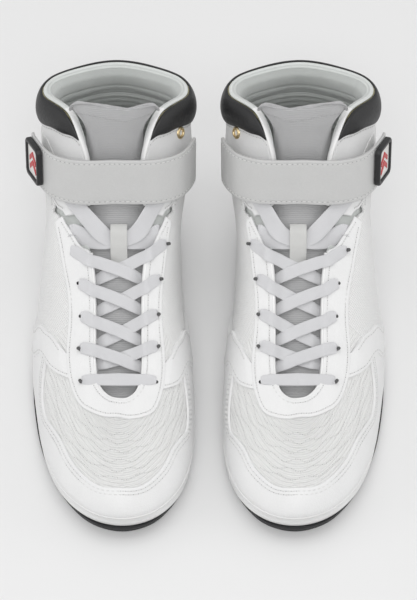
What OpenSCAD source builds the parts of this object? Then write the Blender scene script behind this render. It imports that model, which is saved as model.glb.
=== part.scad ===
// A pair of high boxing boots with a lace-up throat and an ankle strap.
// Right boot's own frame: x towards the inner side, y towards the heel, z up from the floor.
// The left boot is the right one mirrored across the mid-plane of the pair.

/* [Pair] */
// Distance from the mid-plane to each boot's centre line
boot_offset = 61; // [58:0.5:90]
// Shift that puts the middle of the pair at y = 0
fore_shift = -1; // [-5:0.5:5]

/* [Sole] */
// Thickness of the black outsole
outsole_t = 3.5; // [2.5:0.5:4]
// How far the black outsole stands out past the white wall
outsole_lip = 1; // [0.5:0.25:2]
// Rise of the toe above the floor
toe_spring = 9; // [5:0.5:12]
// Height of the midsole's floor, where the insole board lies
floor_z = 6.4; // [6:0.1:7]
// Thickness of the removable footbed
insole_t = 3.6; // [2:0.2:5]

/* [Upper] */
// Thickness of the vamp, quarters and cuffs
panel_t = 1.8; // [1.2:0.1:2]
// Gap between neighbouring layers
layer_gap = 0.4; // [0.3:0.05:0.5]
// Thickness of the stitched overlays
overlay_t = 1.1; // [0.8:0.1:1.6]
// Outward swell of the padded collar
collar_out = 5; // [2:0.5:7]
// Inward swell of the padded collar
collar_in = 3.5; // [1:0.5:5]

/* [Lace] */
// Width of the flat lace
lace_w = 8; // [5:0.5:9]
// Thickness of the flat lace
lace_t = 1.2; // [0.8:0.1:1.4]

/* [Tongue] */
// Thickness of the lower tongue
tongue_t = 4; // [3:0.5:5]
// Thickness of the padded upper tongue
tongue_pad = 6; // [4:0.5:8]

/* [Strap] */
// Width of the ankle strap
strap_w = 32; // [26:1:34]
// Thickness of the ankle strap
strap_t = 2.4; // [1.8:0.1:3]
// Backward lean of the ankle strap's axis
strap_lean = 24; // [20:1:26]
// Width of the rubber badge along the strap
badge_w = 25; // [20:1:27]
// Height of the rubber badge across the strap
badge_h = 27; // [22:1:29]

/* [Hidden] */
badge_gap = 0.45;
badge_z = 17.5;
PARTS = ["outsole", "midsole", "insole_board", "insole", "toe_puff", "heel_counter", "lining",
    "vamp", "toe_cap", "lateral_quarter", "medial_quarter", "side_stripes", "eyestay",
    "heel_foxing", "back_stay", "lateral_cuff", "medial_cuff", "collar_panel", "collar_foam",
    "lower_tongue", "upper_tongue", "lace_loop", "lace", "strap_base", "strap_front",
    "strap_tab", "hook_patch", "loop_patch", "badge", "eyelet_ring"];

// ---- The last: five rings of [half width, y, z], toe first, heel last ----
foot_ring = [[0, -143, 8], [19, -137, 8], [34, -120, 8], [44, -95, 8], [48.5, -66, 8],
    [50, -36, 8], [48, -6, 8], [43, 22, 8], [39, 48, 8], [37, 72, 8], [35, 97, 8],
    [29, 121, 8], [16, 139, 8], [0, 145, 8]];
wall_ring = [[0, -147, 19], [20, -141, 19], [37, -123, 20], [47, -97, 21], [51, -66, 22],
    [52, -36, 24], [50, -6, 26], [46, 22, 28], [43, 47, 30], [41, 72, 30], [39, 97, 30],
    [32, 123, 30], [18, 142, 30], [0, 148, 30]];
waist_ring = [[0, -131, 35], [15, -127, 36], [31, -111, 38], [41, -87, 41], [47, -58, 45],
    [48, -29, 52], [47, -4, 59], [46, 20, 66], [44, 44, 70], [42, 68, 70], [38, 93, 68],
    [30, 117, 66], [17, 134, 64], [0, 140, 63]];
ankle_ring = [[0, -105, 49], [10, -102, 49.5], [21, -92, 52], [29, -73, 57], [33, -50, 66],
    [35, -23, 80], [37.5, 0, 92], [40, 21, 104], [42.5, 42, 113], [47, 61, 118], [49, 85, 118],
    [39, 113, 114], [20, 127, 111], [0, 132, 110]];
top_ring = [[0, -79, 58], [7, -77.5, 58.5], [13, -71, 61], [15.5, -58, 66], [15.5, -36, 79],
    [16, -12, 95], [18, 6, 109], [18, 27.5, 121.5], [18, 44.5, 152], [29, 69, 169],
    [47, 93, 161], [43, 111, 156], [23, 122.5, 154], [0, 127, 154]];
heel_u = 13;

function flip(p) = [-p[0], p[1], p[2]];
function wrap(r) = concat([flip(r[2]), flip(r[1])], r, [flip(r[12]), flip(r[11])]);
rings = [for (r = [foot_ring, wall_ring, waist_ring, ankle_ring, top_ring]) wrap(r)];

function unit(v) = v / norm(v);
function clamp(a, low, high) = min(max(a, low), high);
function mix(a, b, f) = a + (b - a) * f;
function spline(a, b, c, d, f) =
    0.5 * (2*b + (c - a)*f + (2*a - 5*b + 4*c - d)*f*f + (3*b - a - 3*c + d)*f*f*f);
function along(r, t) = let(i = min(floor(t), heel_u - 1))
    spline(r[i + 1], r[i + 2], r[i + 3], r[i + 4], t - i);

// u runs from the toe (0) round the inner side to the heel (13) and back along the outer side
function column(u) = let(w = u < 0 ? u + 2*heel_u : u, inner = w <= heel_u)
    [for (r = rings) let(p = along(r, inner ? w : 2*heel_u - w)) inner ? p : flip(p)];
function climb(c, v) = let(k = min(floor(4*v), 3), low = k > 0 ? c[k - 1] : 2*c[0] - c[1],
    high = k < 3 ? c[k + 2] : 2*c[4] - c[3]) spline(low, c[k], c[k + 1], high, 4*v - k);

// The foot's own asymmetry: toe spring, inward toe, outward ball and the shifted throat
function spring(y) = toe_spring * pow(clamp((-60 - y) / 88, 0, 1), 2);
function bell(y, mid, half) = exp(-pow((y - mid) / half, 2));
function foot_shape(p, v) = let(y = p[1], t = clamp((-60 - y) / 88, 0, 1)) [
    p[0] + 5*t*t - 4*(1 - v)*bell(y, -15, 50) - 12*v*(1 - v)*bell(y, 15, 40)
        + 2.5*v*v*v*clamp((60 - y) / 60, 0, 1)*(1 - t),
    y - 0.14*p[0]*clamp(-y / 60, 0, 1)*clamp((150 + y) / 70, 0, 1),
    p[2] + spring(y)];

// A point of the upper's outer surface, and one lifted off it by h
function skin(u, v) = foot_shape(climb(column(u), v), v);
function on(u, v, h) = let(du = 0.03, v0 = max(v - 0.01, 0), v1 = min(v + 0.01, 1))
    skin(u, v) + h * unit(cross(skin(u + du, v) - skin(u - du, v), skin(u, v1) - skin(u, v0)));

// ---- Edges of the panels, as height v along each column u ----
function cap_top(u) = lookup(abs(u), [[0, 0.455], [1, 0.445], [1.7, 0.465], [2.4, 0.495],
    [2.9, 0.46], [3.3, 0.42], [3.6, 0.44], [3.9, 0.51], [4.2, 0.58], [4.5, 0.615], [5, 0.62]]);
function stay_edge(u) = lookup(abs(u), [[0, 0.875], [1, 0.85], [1.8, 0.81], [2.5, 0.755],
    [3, 0.745], [3.9, 0.76], [4.5, 0.8], [6, 0.81], [7.3, 0.79]]);
function notch_edge(u) = lookup(abs(u), [[5.9, 0.99], [6.1, 0.95], [6.55, 0.9], [6.9, 0.865],
    [7.3, 0.83], [7.6, 0.79]]);
function rear(u) = let(w = u < 0 ? u + 2*heel_u : u) w > heel_u ? 2*heel_u - w : w;
function collar_low(u) = lookup(rear(u), [[8.3, 0.985], [8.6, 0.965], [8.85, 0.935], [9.4, 0.9],
    [10, 0.865], [13, 0.85]]);
seam_v = 0.785;
tuck_v = 0.04;
lip_v = 0.17;

function swell(u, v) = rear(u) < 8.3 ? 0 :
    let(low = collar_low(u), s = clamp((v - low) / (1.001 - low), 0, 1))
    pow(sin(180 * s), 0.6) * clamp((rear(u) - 8.3) / 0.7, 0, 1);

// A shell between two lifts off the skin. cut(a, b) gives [u, v] for a and b from 0 to 1,
// low(u, v) and high(u, v) give the two lifts, and ring joins the last column to the first.
module shell(cut, na, nb, low, high, ring = false) {
    cols = ring ? na : na + 1;
    rows = nb + 1;
    n = cols * rows;
    uv = [for (i = [0:cols - 1]) for (j = [0:nb]) cut(i / na, j / nb)];
    pts = concat([for (q = uv) on(q[0], q[1], high(q[0], q[1]))],
        [for (q = uv) on(q[0], q[1], low(q[0], q[1]))]);
    function id(i, j) = (i % cols) * rows + j;
    skins = [for (i = [0:na - 1]) for (j = [0:nb - 1])
        let(a = id(i, j), b = id(i, j + 1), c = id(i + 1, j + 1), d = id(i + 1, j))
        each [[a, b, c], [a, c, d], [a + n, c + n, b + n], [a + n, d + n, c + n]]];
    rims = [for (i = [0:na - 1]) let(a = id(i, 0), d = id(i + 1, 0), b = id(i, nb), c = id(i + 1, nb))
        each [[a, d, d + n], [a, d + n, a + n], [b, b + n, c + n], [b, c + n, c]]];
    ends = ring ? [] : [for (j = [0:nb - 1])
        let(a = id(0, j), b = id(0, j + 1), d = id(na, j), c = id(na, j + 1))
        each [[a, a + n, b + n], [a, b + n, b], [d, c, c + n], [d, c + n, d + n]]];
    polyhedron(points = pts, faces = concat(skins, rims, ends), convexity = 6);
}

// A panel whose lower and upper edges are functions of u
module panel(u0, u1, na, nb, bottom, top, low, high, ring = false) {
    shell(function(a, b) let(u = mix(u0, u1, a)) [u, mix(bottom(u), top(u), b)],
        na, nb, function(u, v) low, function(u, v) high, ring);
}

// A flat strip along points, with a width and a direction across it at each point
module ribbon(path, widths, across, thick) {
    last = len(path) - 1;
    pts = [for (i = [0:last])
        let(t = unit(path[min(i + 1, last)] - path[max(i - 1, 0)]),
            n = unit(cross(t, across[i])), w = unit(cross(n, t)) * widths[i] / 2, h = n * thick / 2)
        each [path[i] + w + h, path[i] - w + h, path[i] - w - h, path[i] + w - h]];
    sides = [for (i = [0:last - 1]) for (k = [0:3])
        let(a = 4*i + k, b = 4*i + (k + 1) % 4)
        each [[a, b + 4, b], [a, a + 4, b + 4]]];
    m = 4*last;
    polyhedron(points = pts, faces = concat([[0, 2, 3], [0, 1, 2]], sides,
        [[m, m + 2, m + 1], [m, m + 3, m + 2]]), convexity = 6);
}

// ---- Sole ----
function outline(u, grow) = let(p = foot_shape(column(u)[1], 0),
    a = foot_shape(column(u - 0.05)[1], 0), b = foot_shape(column(u + 0.05)[1], 0),
    t = unit([b[0] - a[0], b[1] - a[1]])) [p[0] + grow*t[1], p[1] - grow*t[0]];
sole_steps = 52;
function sole_u(i) = i * 2*heel_u / sole_steps;

module outsole() {
    profile = [for (y = [-160:6:-58]) [y, spring(y)]];
    color([0.08, 0.08, 0.09]) intersection() {
        linear_extrude(height = 20)
            polygon([for (i = [0:sole_steps - 1]) outline(sole_u(i), 1 + outsole_lip)]);
        rotate([90, 0, 90]) linear_extrude(height = 160, center = true)
            polygon(concat(profile, [[160, 0], [160, outsole_t]],
                [for (k = [len(profile) - 1:-1:0]) profile[k] + [0, outsole_t]]));
    }
}

// Columns of a closed ring of edge points, joined across the foot by flat strips
module slab(columns) {
    n = len(columns);
    m = len(columns[0]);
    half = n / 2;
    walls = [for (i = [0:n - 1]) for (j = [0:m - 2])
        let(a = i*m + j, b = a + 1, d = ((i + 1) % n)*m + j, c = d + 1)
        each [[a, b, c], [a, c, d]]];
    function at(i, j) = ((i + n) % n)*m + j;
    bottoms = [for (k = [0:half - 1]) each [[at(k, 0), at(k + 1, 0), at(-k - 1, 0)],
        if (k > 0) [at(k, 0), at(-k - 1, 0), at(-k, 0)]]];
    tops = [for (k = [0:half - 1]) each [[at(k, m - 1), at(-k - 1, m - 1), at(k + 1, m - 1)],
        if (k > 0) [at(k, m - 1), at(-k, m - 1), at(-k - 1, m - 1)]]];
    keep = function(f) f[0] != f[1] && f[1] != f[2] && f[0] != f[2];
    polyhedron(points = [for (c = columns) each c],
        faces = [for (f = concat(walls, bottoms, tops)) if (keep(f)) f], convexity = 6);
}

module midsole() {
    base = outsole_t + 0.1;
    color([0.93, 0.93, 0.92]) slab([for (i = [0:sole_steps - 1])
        let(u = sole_u(i), edge = outline(u, 1), inner = on(u, 0, 0.4)) [
            [edge[0], edge[1], base + spring(edge[1])],
            on(u, 0.1, 2.6), on(u, lip_v, 2.2), on(u, lip_v, 0.4), inner,
            [inner[0], inner[1], floor_z + spring(inner[1])]]]);
}

// A flat sheet inside the foot ring
module sheet(inset, z0, z1, steps) {
    slab([for (i = [0:steps - 1]) let(p = on(i * 2*heel_u / steps, 0, -inset), s = spring(p[1]))
        [[p[0], p[1], z0 + s], [p[0], p[1], z1 + s]]]);
}

module insole_board() {
    color([0.8, 0.76, 0.68]) sheet(0.8, floor_z + 0.1, floor_z + 1.4, 26);
}

module insole() {
    color([0.88, 0.88, 0.87]) sheet(5.6, floor_z + 1.8, floor_z + 1.8 + insole_t, 26);
}

// ---- Upper ----
stiff_high = -panel_t - layer_gap - 0.2;
stiff_low = stiff_high - 0.6;
lining_high = stiff_low - layer_gap;
overlay_low = 0.45;
overlay_high = overlay_low + overlay_t;

module toe_puff() {
    color([0.75, 0.7, 0.6]) panel(-3.5, 3.5, 14, 4, function(u) 0.06, function(u) 0.44,
        stiff_low, stiff_high);
}

module heel_counter() {
    color([0.75, 0.7, 0.6]) panel(10, 16, 12, 4, function(u) 0.06, function(u) 0.5,
        stiff_low, stiff_high);
}

module lining() {
    color([0.86, 0.88, 0.86]) shell(function(a, b) [2*heel_u*a, mix(0.03, 0.995, b)], 26, 10,
        function(u, v) lining_high - 1.2 - collar_in*swell(u, v),
        function(u, v) lining_high - collar_in*swell(u, v), true);
}

module vamp() {
    color([0.9, 0.9, 0.9]) panel(-4.5, 4.5, 18, 7, function(u) tuck_v,
        function(u) min(stay_edge(u) + 0.05, 0.9), -panel_t, 0);
}

module toe_cap() {
    color([0.95, 0.95, 0.94]) shell(function(a, b) let(u = mix(-1, 1, a) * mix(5.9, 4.9, b))
        [u, mix(lip_v + 0.02, cap_top(u), b)], 22, 4,
        function(u, v) overlay_low, function(u, v) overlay_high);
}

module quarter(side) {
    top = function(u) abs(u) < 5.9 ? stay_edge(u) + 0.05 : min(notch_edge(u) - 0.02, seam_v + 0.07);
    color([0.93, 0.93, 0.93]) shell(function(a, b)
        let(u = mix(4.6, 12.95, a), t = u < 7.6 ? top(u) : seam_v)
            [side*u, mix(tuck_v, t, side > 0 ? b : 1 - b)],
        18, 7, function(u, v) -panel_t, function(u, v) 0);
}

module lateral_quarter() quarter(-1);
module medial_quarter() quarter(1);

// The white bands that run from the eyestay down and back to the sole
module side_stripes() {
    color([0.95, 0.95, 0.94]) for (side = [-1, 1])
        shell(function(a, b) let(v = mix(0.72, lip_v + 0.02, side > 0 ? a : 1 - a),
            front = lookup(v, [[0.19, 5.7], [0.42, 4.9], [0.58, 4.65], [0.72, 3.4]]),
            width = lookup(v, [[0.19, 1.2], [0.58, 0.6], [0.72, 0.65]])) [side*(front + width*b), v],
            14, 2, function(u, v) overlay_high + 0.2, function(u, v) overlay_high + 0.2 + overlay_t);
}

module eyestay() {
    inner_edge = function(u) abs(u) < 5.9 ? 0.995 : notch_edge(u);
    color([0.96, 0.96, 0.95]) panel(-7.2, 7.2, 28, 2, function(u) stay_edge(u) + 0.002, inner_edge,
        overlay_low, overlay_high);
}

module heel_foxing() {
    color([0.95, 0.95, 0.94]) panel(9.5, 16.5, 14, 3, function(u) lip_v + 0.02,
        function(u) lookup(rear(u), [[9.5, 0.24], [11, 0.36], [12.4, 0.42], [13, 0.42]]),
        overlay_low, overlay_high);
}

module back_stay() {
    color([0.95, 0.95, 0.94]) panel(12.5, 13.5, 2, 6, function(u) 0.44, function(u) 0.84,
        overlay_low, overlay_high);
}

module cuff(side) {
    top = function(u) u < 8.3 ? 0.985 : collar_low(u) - 0.004;
    color([0.95, 0.95, 0.94]) shell(function(a, b) let(u = mix(7.15, 12.95, a),
            bottom = max(seam_v + 0.008, notch_edge(u) + 0.01))
        [side*u, mix(bottom, top(u), side > 0 ? b : 1 - b)],
        16, 4, function(u, v) -panel_t, function(u, v) 0);
}

module lateral_cuff() cuff(-1);
module medial_cuff() cuff(1);

module collar_panel() {
    color([0.1, 0.1, 0.11]) shell(function(a, b) let(u = mix(8.45, 17.55, a))
        [u, mix(collar_low(u) + 0.006, 0.993, b)], 24, 5,
        function(u, v) collar_out*swell(u, v) - 1.3, function(u, v) collar_out*swell(u, v));
}

module collar_foam() {
    color([0.9, 0.85, 0.6]) shell(function(a, b) let(u = mix(8.7, 17.3, a))
        [u, mix(collar_low(u) + 0.02, 0.98, b)], 20, 4,
        function(u, v) -panel_t - layer_gap - 0.4 - 0.35*collar_in*swell(u, v),
        function(u, v) collar_out*swell(u, v) - 1.6);
}

// ---- Tongue: [y, z] of its front face on the centre line ----
// The throat's centre line lies this far towards the inner side
throat_x = 2.5;
lower_line = [[-91, 48.5], [-76, 52.5], [-58, 61], [-36, 74], [-12, 90], [6, 104], [20, 115.5]];
upper_line = [[25, 118.7], [33, 128.5], [40, 141], [46.5, 154.5], [51.5, 167], [56, 178.5], [61, 187]];
lower_half = [14, 20, 25, 25, 24.5, 21.8, 19.6];
upper_half = [17.8, 17.4, 17.2, 17.5, 19, 26.2, 30.6];
upper_wing = [3, 4, 6, 9.5, 10, 8, 8];

// A curved pad between its front face and the same face moved back by the thickness
module pad(line, halves, thick, crown, wing) {
    last = len(line) - 1;
    spread = [-1, -0.75, -0.4, 0, 0.4, 0.75, 1];
    cells = len(spread) - 1;
    function dir(i) = unit([0, line[min(i + 1, last)][0] - line[max(i - 1, 0)][0],
        line[min(i + 1, last)][1] - line[max(i - 1, 0)][1]]);
    function face(i, k, depth) = let(d = dir(i), back = [0, d[2], -d[1]], x = halves[i]*spread[k],
        drop = depth + x*x/crown + wing[i]*pow(abs(spread[k]), 4))
        [throat_x*clamp((40 - line[i][0]) / 40, 0, 1) + x, line[i][0], line[i][1]] + back*drop;
    n = (last + 1)*(cells + 1);
    function id(i, k) = i*(cells + 1) + k;
    pts = concat([for (i = [0:last]) for (k = [0:cells]) face(i, k, 0)],
        [for (i = [0:last]) for (k = [0:cells]) face(i, k, thick*(1 - 0.35*pow(spread[k], 2)))]);
    skins = [for (i = [0:last - 1]) for (k = [0:cells - 1])
        let(a = id(i, k), b = id(i + 1, k), c = id(i + 1, k + 1), d = id(i, k + 1))
        each [[a, b, c], [a, c, d], [a + n, c + n, b + n], [a + n, d + n, c + n]]];
    rims = [for (i = [0:last - 1]) let(a = id(i, 0), b = id(i + 1, 0), d = id(i, cells), c = id(i + 1, cells))
        each [[a, a + n, b + n], [a, b + n, b], [d, c, c + n], [d, c + n, d + n]]];
    ends = [for (k = [0:cells - 1]) let(a = id(0, k), d = id(0, k + 1), b = id(last, k), c = id(last, k + 1))
        each [[a, d, d + n], [a, d + n, a + n], [b, b + n, c + n], [b, c + n, c]]];
    polyhedron(points = pts, faces = concat(skins, rims, ends), convexity = 4);
}

module lower_tongue() {
    color([0.84, 0.84, 0.84]) pad(lower_line, lower_half, tongue_t, 90, [for (p = lower_line) 0]);
}

module upper_tongue() {
    color([0.84, 0.84, 0.84]) pad(upper_line, upper_half, tongue_pad, 110, upper_wing);
}

// ---- Lace ----
// Eyelets from the top row down, as [u, v], and where the strands from each row pass over the
// throat's edge on their own side and under the edge on the other one
outer_eyes = [[6.2, 0.884], [5.22, 0.908], [4.44, 0.906], [3.72, 0.884], [2.82, 0.864]];
inner_eyes = [[6.5, 0.834], [5.48, 0.868], [4.66, 0.866], [4.02, 0.856], [3.18, 0.838]];
outer_over = [5.67, 4.83, 4.12, 3.4];
inner_over = [5.82, 4.93, 4.22, 3.52];
outer_under = [5.05, 4.31, 3.52, 2.95];
inner_under = [5.11, 4.42, 3.72, 3.05];
function hole(side, row, h) = let(e = side > 0 ? inner_eyes[row] : outer_eyes[row]) on(side*e[0], e[1], h);
function throat(side, u, h) = on(side*u, 0.985, h);
over = overlay_high + lace_t/2 + 0.2;
under = lining_high - 1.2 - lace_t/2 - 0.3;
top_h = 1.0;
low_h = -1.2;

// Down through the hole of one row, under that edge, across and into the opposite hole above
function crossing(side, row) = let(
    ue = (side > 0 ? inner_under : outer_under)[row - 1], uo = (side > 0 ? outer_over : inner_over)[row - 1],
    a = throat(side, ue, 0), b = throat(-side, uo, 0), lift = [0, 0, side > 0 ? top_h : low_h]) [
    [hole(side, row, over), 5], [hole(side, row, over - 1.6), 4.5], [hole(side, row, under), 4.5],
    [throat(side, ue, under), 6.5], [mix(a, b, 0.24) + lift + [0, 0, -1.2], lace_w],
    [mix(a, b, 0.42) + lift, lace_w], [mix(a, b, 0.62) + lift, lace_w],
    [throat(-side, uo, over), lace_w], [mix(throat(-side, uo, over), hole(-side, row - 1, over), 0.7), 6.5]];

// Out at the notch, through the lace loop and up to the opposite cuff
function finish(side) = [
    [hole(side, 0, over), 5], [hole(side, 0, over - 1.6), 4.5], [hole(side, 0, under), 4.5],
    [on(side*6.4, 0.9, under), 6], [[throat_x + 19*side, 11.6, 105.6], lace_w],
    [[throat_x + 10*side, 9, 109.3], lace_w], [[throat_x, 9, 111.1 - 0.8*side], lace_w],
    [[throat_x - 7*side, 10.6, 112.2 - 0.5*side], lace_w], [[throat_x - 13*side, 17.5, 117], lace_w],
    [on(-side*7.25, 0.93, 1.4), lace_w], [on(-side*7.6, 0.875, 1.5), 6.5], [on(-side*7.85, 0.88, 1.5), 6]];

function half_lace(side) = concat(
    [[mix(hole(-1, 4, over), hole(1, 4, over), 0.5 + side*0.02) + [0, 0, 0.5], lace_w],
     [mix(hole(-1, 4, over), hole(1, 4, over), 0.5 + side*0.4) + [0, 0, 0.2], 7]],
    crossing(side, 4), crossing(-side, 3), crossing(side, 2), crossing(-side, 1), finish(side));
function reversed(l) = [for (i = [len(l) - 1:-1:0]) l[i]];

module lace() {
    route = concat(reversed(half_lace(-1)), half_lace(1));
    path = [for (r = route) r[0]];
    lengthwise = [for (p = path) let(slope = lookup(p[1], [[-80, 28], [-40, 33], [0, 38], [30, 45]]))
        [0, cos(slope), sin(slope)]];
    color([0.97, 0.97, 0.96]) ribbon(path, [for (r = route) r[1]], lengthwise, lace_t);
}

// Cream webbing sewn to the tongue, which keeps the lace in the middle
module lace_loop() {
    line = [[-3.2, 97.9], [0.6, 101], [2.6, 105.6], [5.2, 111.2], [9, 115.4], [13.2, 118.4], [17.2, 118.4], [18.6, 116.1]];
    color([0.93, 0.9, 0.82]) ribbon([for (p = line) [throat_x, p[0], p[1]]],
        [for (p = line) 11], [for (p = line) [1, 0, 0]], 1);
}

// The brass ring that takes the lace's end at the inner cuff
module eyelet_ring() {
    seat = on(9.35, 0.885, 0.1);
    aim = unit(on(9.35, 0.885, 1) - seat);
    turn = [0, acos(aim[2]), atan2(aim[1], aim[0])];
    color([0.8, 0.62, 0.3]) translate(seat) rotate(turn) difference() {
        union() {
            cylinder(h = 0.7, r = 4.2, $fn = 32);
            cylinder(h = 1.4, r = 3.2, $fn = 32);
        }
        translate([0, 0, -1]) cylinder(h = 4, r = 2, $fn = 32);
    }
}

// ---- Ankle strap, drawn flat in a frame that leans back with the shin ----
strap_foot = [0, 26.4, 127.7];
inner_plan = [[-14, 0.6], [0, 0], [16, -0.4], [30, 1.2], [41.8, 8.4], [48, 18], [51.5, 28], [53.3, 38],
    [53.8, 52], [53.8, 66]];
outer_plan = [[-16, -0.4], [0, 0], [15, -1], [28, 0.7], [39.5, 7.2], [47, 17.5], [51.8, 28.5],
    [55.6, 39.5], [56.2, 50], [56.2, 61]];
// s from 0 at the front to 7 at the end, negative on the outer side
function strap_point(s, inward) = let(a = abs(s), g = 0.02, plan = s < 0 ? outer_plan : inner_plan,
    d = unit(plan_at(plan, min(a + g, 7)) - plan_at(plan, max(a - g, 0))),
    q = plan_at(plan, a) + inward*[-d[1], d[0]]) [s < 0 ? -q[0] : q[0], q[1]];
function plan_at(plan, a) = let(i = min(floor(a), 6))
    spline(plan[i], plan[i + 1], plan[i + 2], plan[i + 3], a - i);

module lean() translate(strap_foot) rotate([-strap_lean, 0, 0]) children();

module band(s0, s1, n, outer, inner, z0, z1) {
    lean() translate([0, 0, z0]) linear_extrude(height = z1 - z0)
        polygon(concat([for (i = [0:n]) strap_point(mix(s0, s1, i/n), outer)],
            [for (i = [n:-1:0]) strap_point(mix(s0, s1, i/n), inner)]));
}

module strap_base() {
    color([0.95, 0.95, 0.94]) band(3.12, 5.6, 5, 0, strap_t, 0, strap_w);
}

module strap_front() {
    color([0.95, 0.95, 0.94]) band(-3.05, 3.05, 14, 0, strap_t, 0, strap_w);
}

module strap_tab() {
    color([0.95, 0.95, 0.94]) band(-6.15, -3.12, 6, 0, strap_t, 0, strap_w);
}

module hook_patch() {
    color([0.15, 0.15, 0.16]) band(-6.05, -5.2, 3, strap_t + 0.1, strap_t + 0.65, 3, strap_w - 3);
}

module loop_patch() {
    color([0.9, 0.9, 0.9]) shell(function(a, b) [mix(-9.9, -8.7, a), mix(0.815, 0.855, b)],
        4, 3, function(u, v) 0.15, function(u, v) 0.7);
}

module rounded(w, h, r) {
    square([w - 2*r, h], center = true);
    square([w, h - 2*r], center = true);
    for (x = [-1, 1], y = [-1, 1]) translate([x*(w/2 - r), y*(h/2 - r)]) circle(r = r, $fn = 24);
}

// Black rubber frame with a recessed white panel, on the strap's free end
module badge() {
    mid = strap_point(-5, -badge_gap);
    ahead = strap_point(-4.5, -badge_gap);
    turn = atan2(ahead[1] - mid[1], ahead[0] - mid[0]);
    color([0.1, 0.1, 0.11]) lean() translate([mid[0], mid[1], badge_z]) rotate([90, 0, turn]) difference() {
        linear_extrude(height = 3.6) rounded(badge_w, badge_h, 4);
        translate([0, 0, 2.4]) linear_extrude(height = 3) rounded(badge_w - 6, badge_h - 6, 2.5);
    }
}

// ---- Placing ----
module right_boot() translate([-boot_offset, fore_shift, 0]) children();
module left_boot() mirror([1, 0, 0]) right_boot() children();

module pair(part) {
    right_boot() children();
    left_boot() children();
}

pair("outsole") outsole();
pair("midsole") midsole();
pair("insole_board") insole_board();
pair("insole") insole();
pair("toe_puff") toe_puff();
pair("heel_counter") heel_counter();
pair("lining") lining();
pair("vamp") vamp();
pair("toe_cap") toe_cap();
pair("lateral_quarter") lateral_quarter();
pair("medial_quarter") medial_quarter();
pair("side_stripes") side_stripes();
pair("eyestay") eyestay();
pair("heel_foxing") heel_foxing();
pair("back_stay") back_stay();
pair("lateral_cuff") lateral_cuff();
pair("medial_cuff") medial_cuff();
pair("collar_panel") collar_panel();
pair("collar_foam") collar_foam();
pair("lower_tongue") lower_tongue();
pair("upper_tongue") upper_tongue();
pair("lace_loop") lace_loop();
pair("lace") lace();
pair("strap_base") strap_base();
pair("strap_front") strap_front();
pair("strap_tab") strap_tab();
pair("hook_patch") hook_patch();
pair("loop_patch") loop_patch();
pair("badge") badge();
pair("eyelet_ring") eyelet_ring();
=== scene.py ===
"""A pair of white high boxing boots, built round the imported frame.

Each piece of the right boot is worked out in that boot's own frame, in millimetres (x towards the
inner side, y towards the heel, z up), and is then placed for the right boot and mirrored for the left.
"""
import math

import bmesh
import bpy
import numpy as np
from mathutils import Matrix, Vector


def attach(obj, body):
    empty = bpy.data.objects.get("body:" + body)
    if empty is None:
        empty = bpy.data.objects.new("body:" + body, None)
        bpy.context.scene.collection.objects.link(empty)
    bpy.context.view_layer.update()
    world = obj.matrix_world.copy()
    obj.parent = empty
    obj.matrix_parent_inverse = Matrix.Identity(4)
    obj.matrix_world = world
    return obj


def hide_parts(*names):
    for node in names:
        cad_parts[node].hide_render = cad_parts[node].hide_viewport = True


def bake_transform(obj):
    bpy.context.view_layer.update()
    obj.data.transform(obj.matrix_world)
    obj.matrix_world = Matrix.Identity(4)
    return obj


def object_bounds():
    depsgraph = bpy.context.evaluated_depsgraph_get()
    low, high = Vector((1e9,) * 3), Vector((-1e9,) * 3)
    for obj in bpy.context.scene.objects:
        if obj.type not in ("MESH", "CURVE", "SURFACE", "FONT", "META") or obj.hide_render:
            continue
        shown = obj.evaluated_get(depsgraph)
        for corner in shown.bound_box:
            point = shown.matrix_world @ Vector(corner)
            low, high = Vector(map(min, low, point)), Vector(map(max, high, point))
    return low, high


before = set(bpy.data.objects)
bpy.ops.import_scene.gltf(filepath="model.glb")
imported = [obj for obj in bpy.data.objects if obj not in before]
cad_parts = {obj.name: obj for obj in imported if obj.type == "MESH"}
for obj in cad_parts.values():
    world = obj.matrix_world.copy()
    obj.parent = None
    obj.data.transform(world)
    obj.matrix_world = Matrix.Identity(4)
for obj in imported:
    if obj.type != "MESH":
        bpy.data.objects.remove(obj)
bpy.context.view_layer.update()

# ---- Sizes, in millimetres ----
BOOT_OFFSET = 61
FORE_SHIFT = -1
TOE_SPRING = 9
OUTSOLE_T = 3.5
OUTSOLE_LIP = 1
FLOOR_Z = 6.4
INSOLE_T = 3.6
PANEL_T = 1.8
OVERLAY_BASE, OVERLAY_HIGH = 0.05, 1.55
THREAD_LIFT = 0.02
FIRST_ROW, SECOND_ROW = 2.3, 4.6
LINING_HIGH = -3.4
LINING_T = 1.2
COLLAR_OUT, COLLAR_IN = 5, 3.5
LACE_W, LACE_T = 8.2, 1.2
STRAP_W, STRAP_T, STRAP_LEAN = 32, 2.4, 24
# u runs from 0 at the toe to 13 at the heel, and v from 0 at the sole to 1 at the rim
HEEL_U = 13
SEAM_V, TUCK_V, LIP_V = 0.785, 0.04, 0.17

# ---- The last: five rings of [half width, y, z], toe first, heel last ----
FOOT_RING = [[0, -143, 8], [19, -137, 8], [34, -120, 8], [44, -95, 8], [48.5, -66, 8],
             [50, -36, 8], [48, -6, 8], [43, 22, 8], [39, 48, 8], [37, 72, 8], [35, 97, 8],
             [29, 121, 8], [16, 139, 8], [0, 145, 8]]
WALL_RING = [[0, -147, 19], [20, -141, 19], [37, -123, 20], [47, -97, 21], [51, -66, 22],
             [52, -36, 24], [50, -6, 26], [46, 22, 28], [43, 47, 30], [41, 72, 30], [39, 97, 30],
             [32, 123, 30], [18, 142, 30], [0, 148, 30]]
WAIST_RING = [[0, -131, 35], [15, -127, 36], [31, -111, 38], [41, -87, 41], [47, -58, 45],
              [48, -29, 52], [47, -4, 59], [46, 20, 66], [44, 44, 70], [42, 68, 70], [38, 93, 68],
              [30, 117, 66], [17, 134, 64], [0, 140, 63]]
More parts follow.
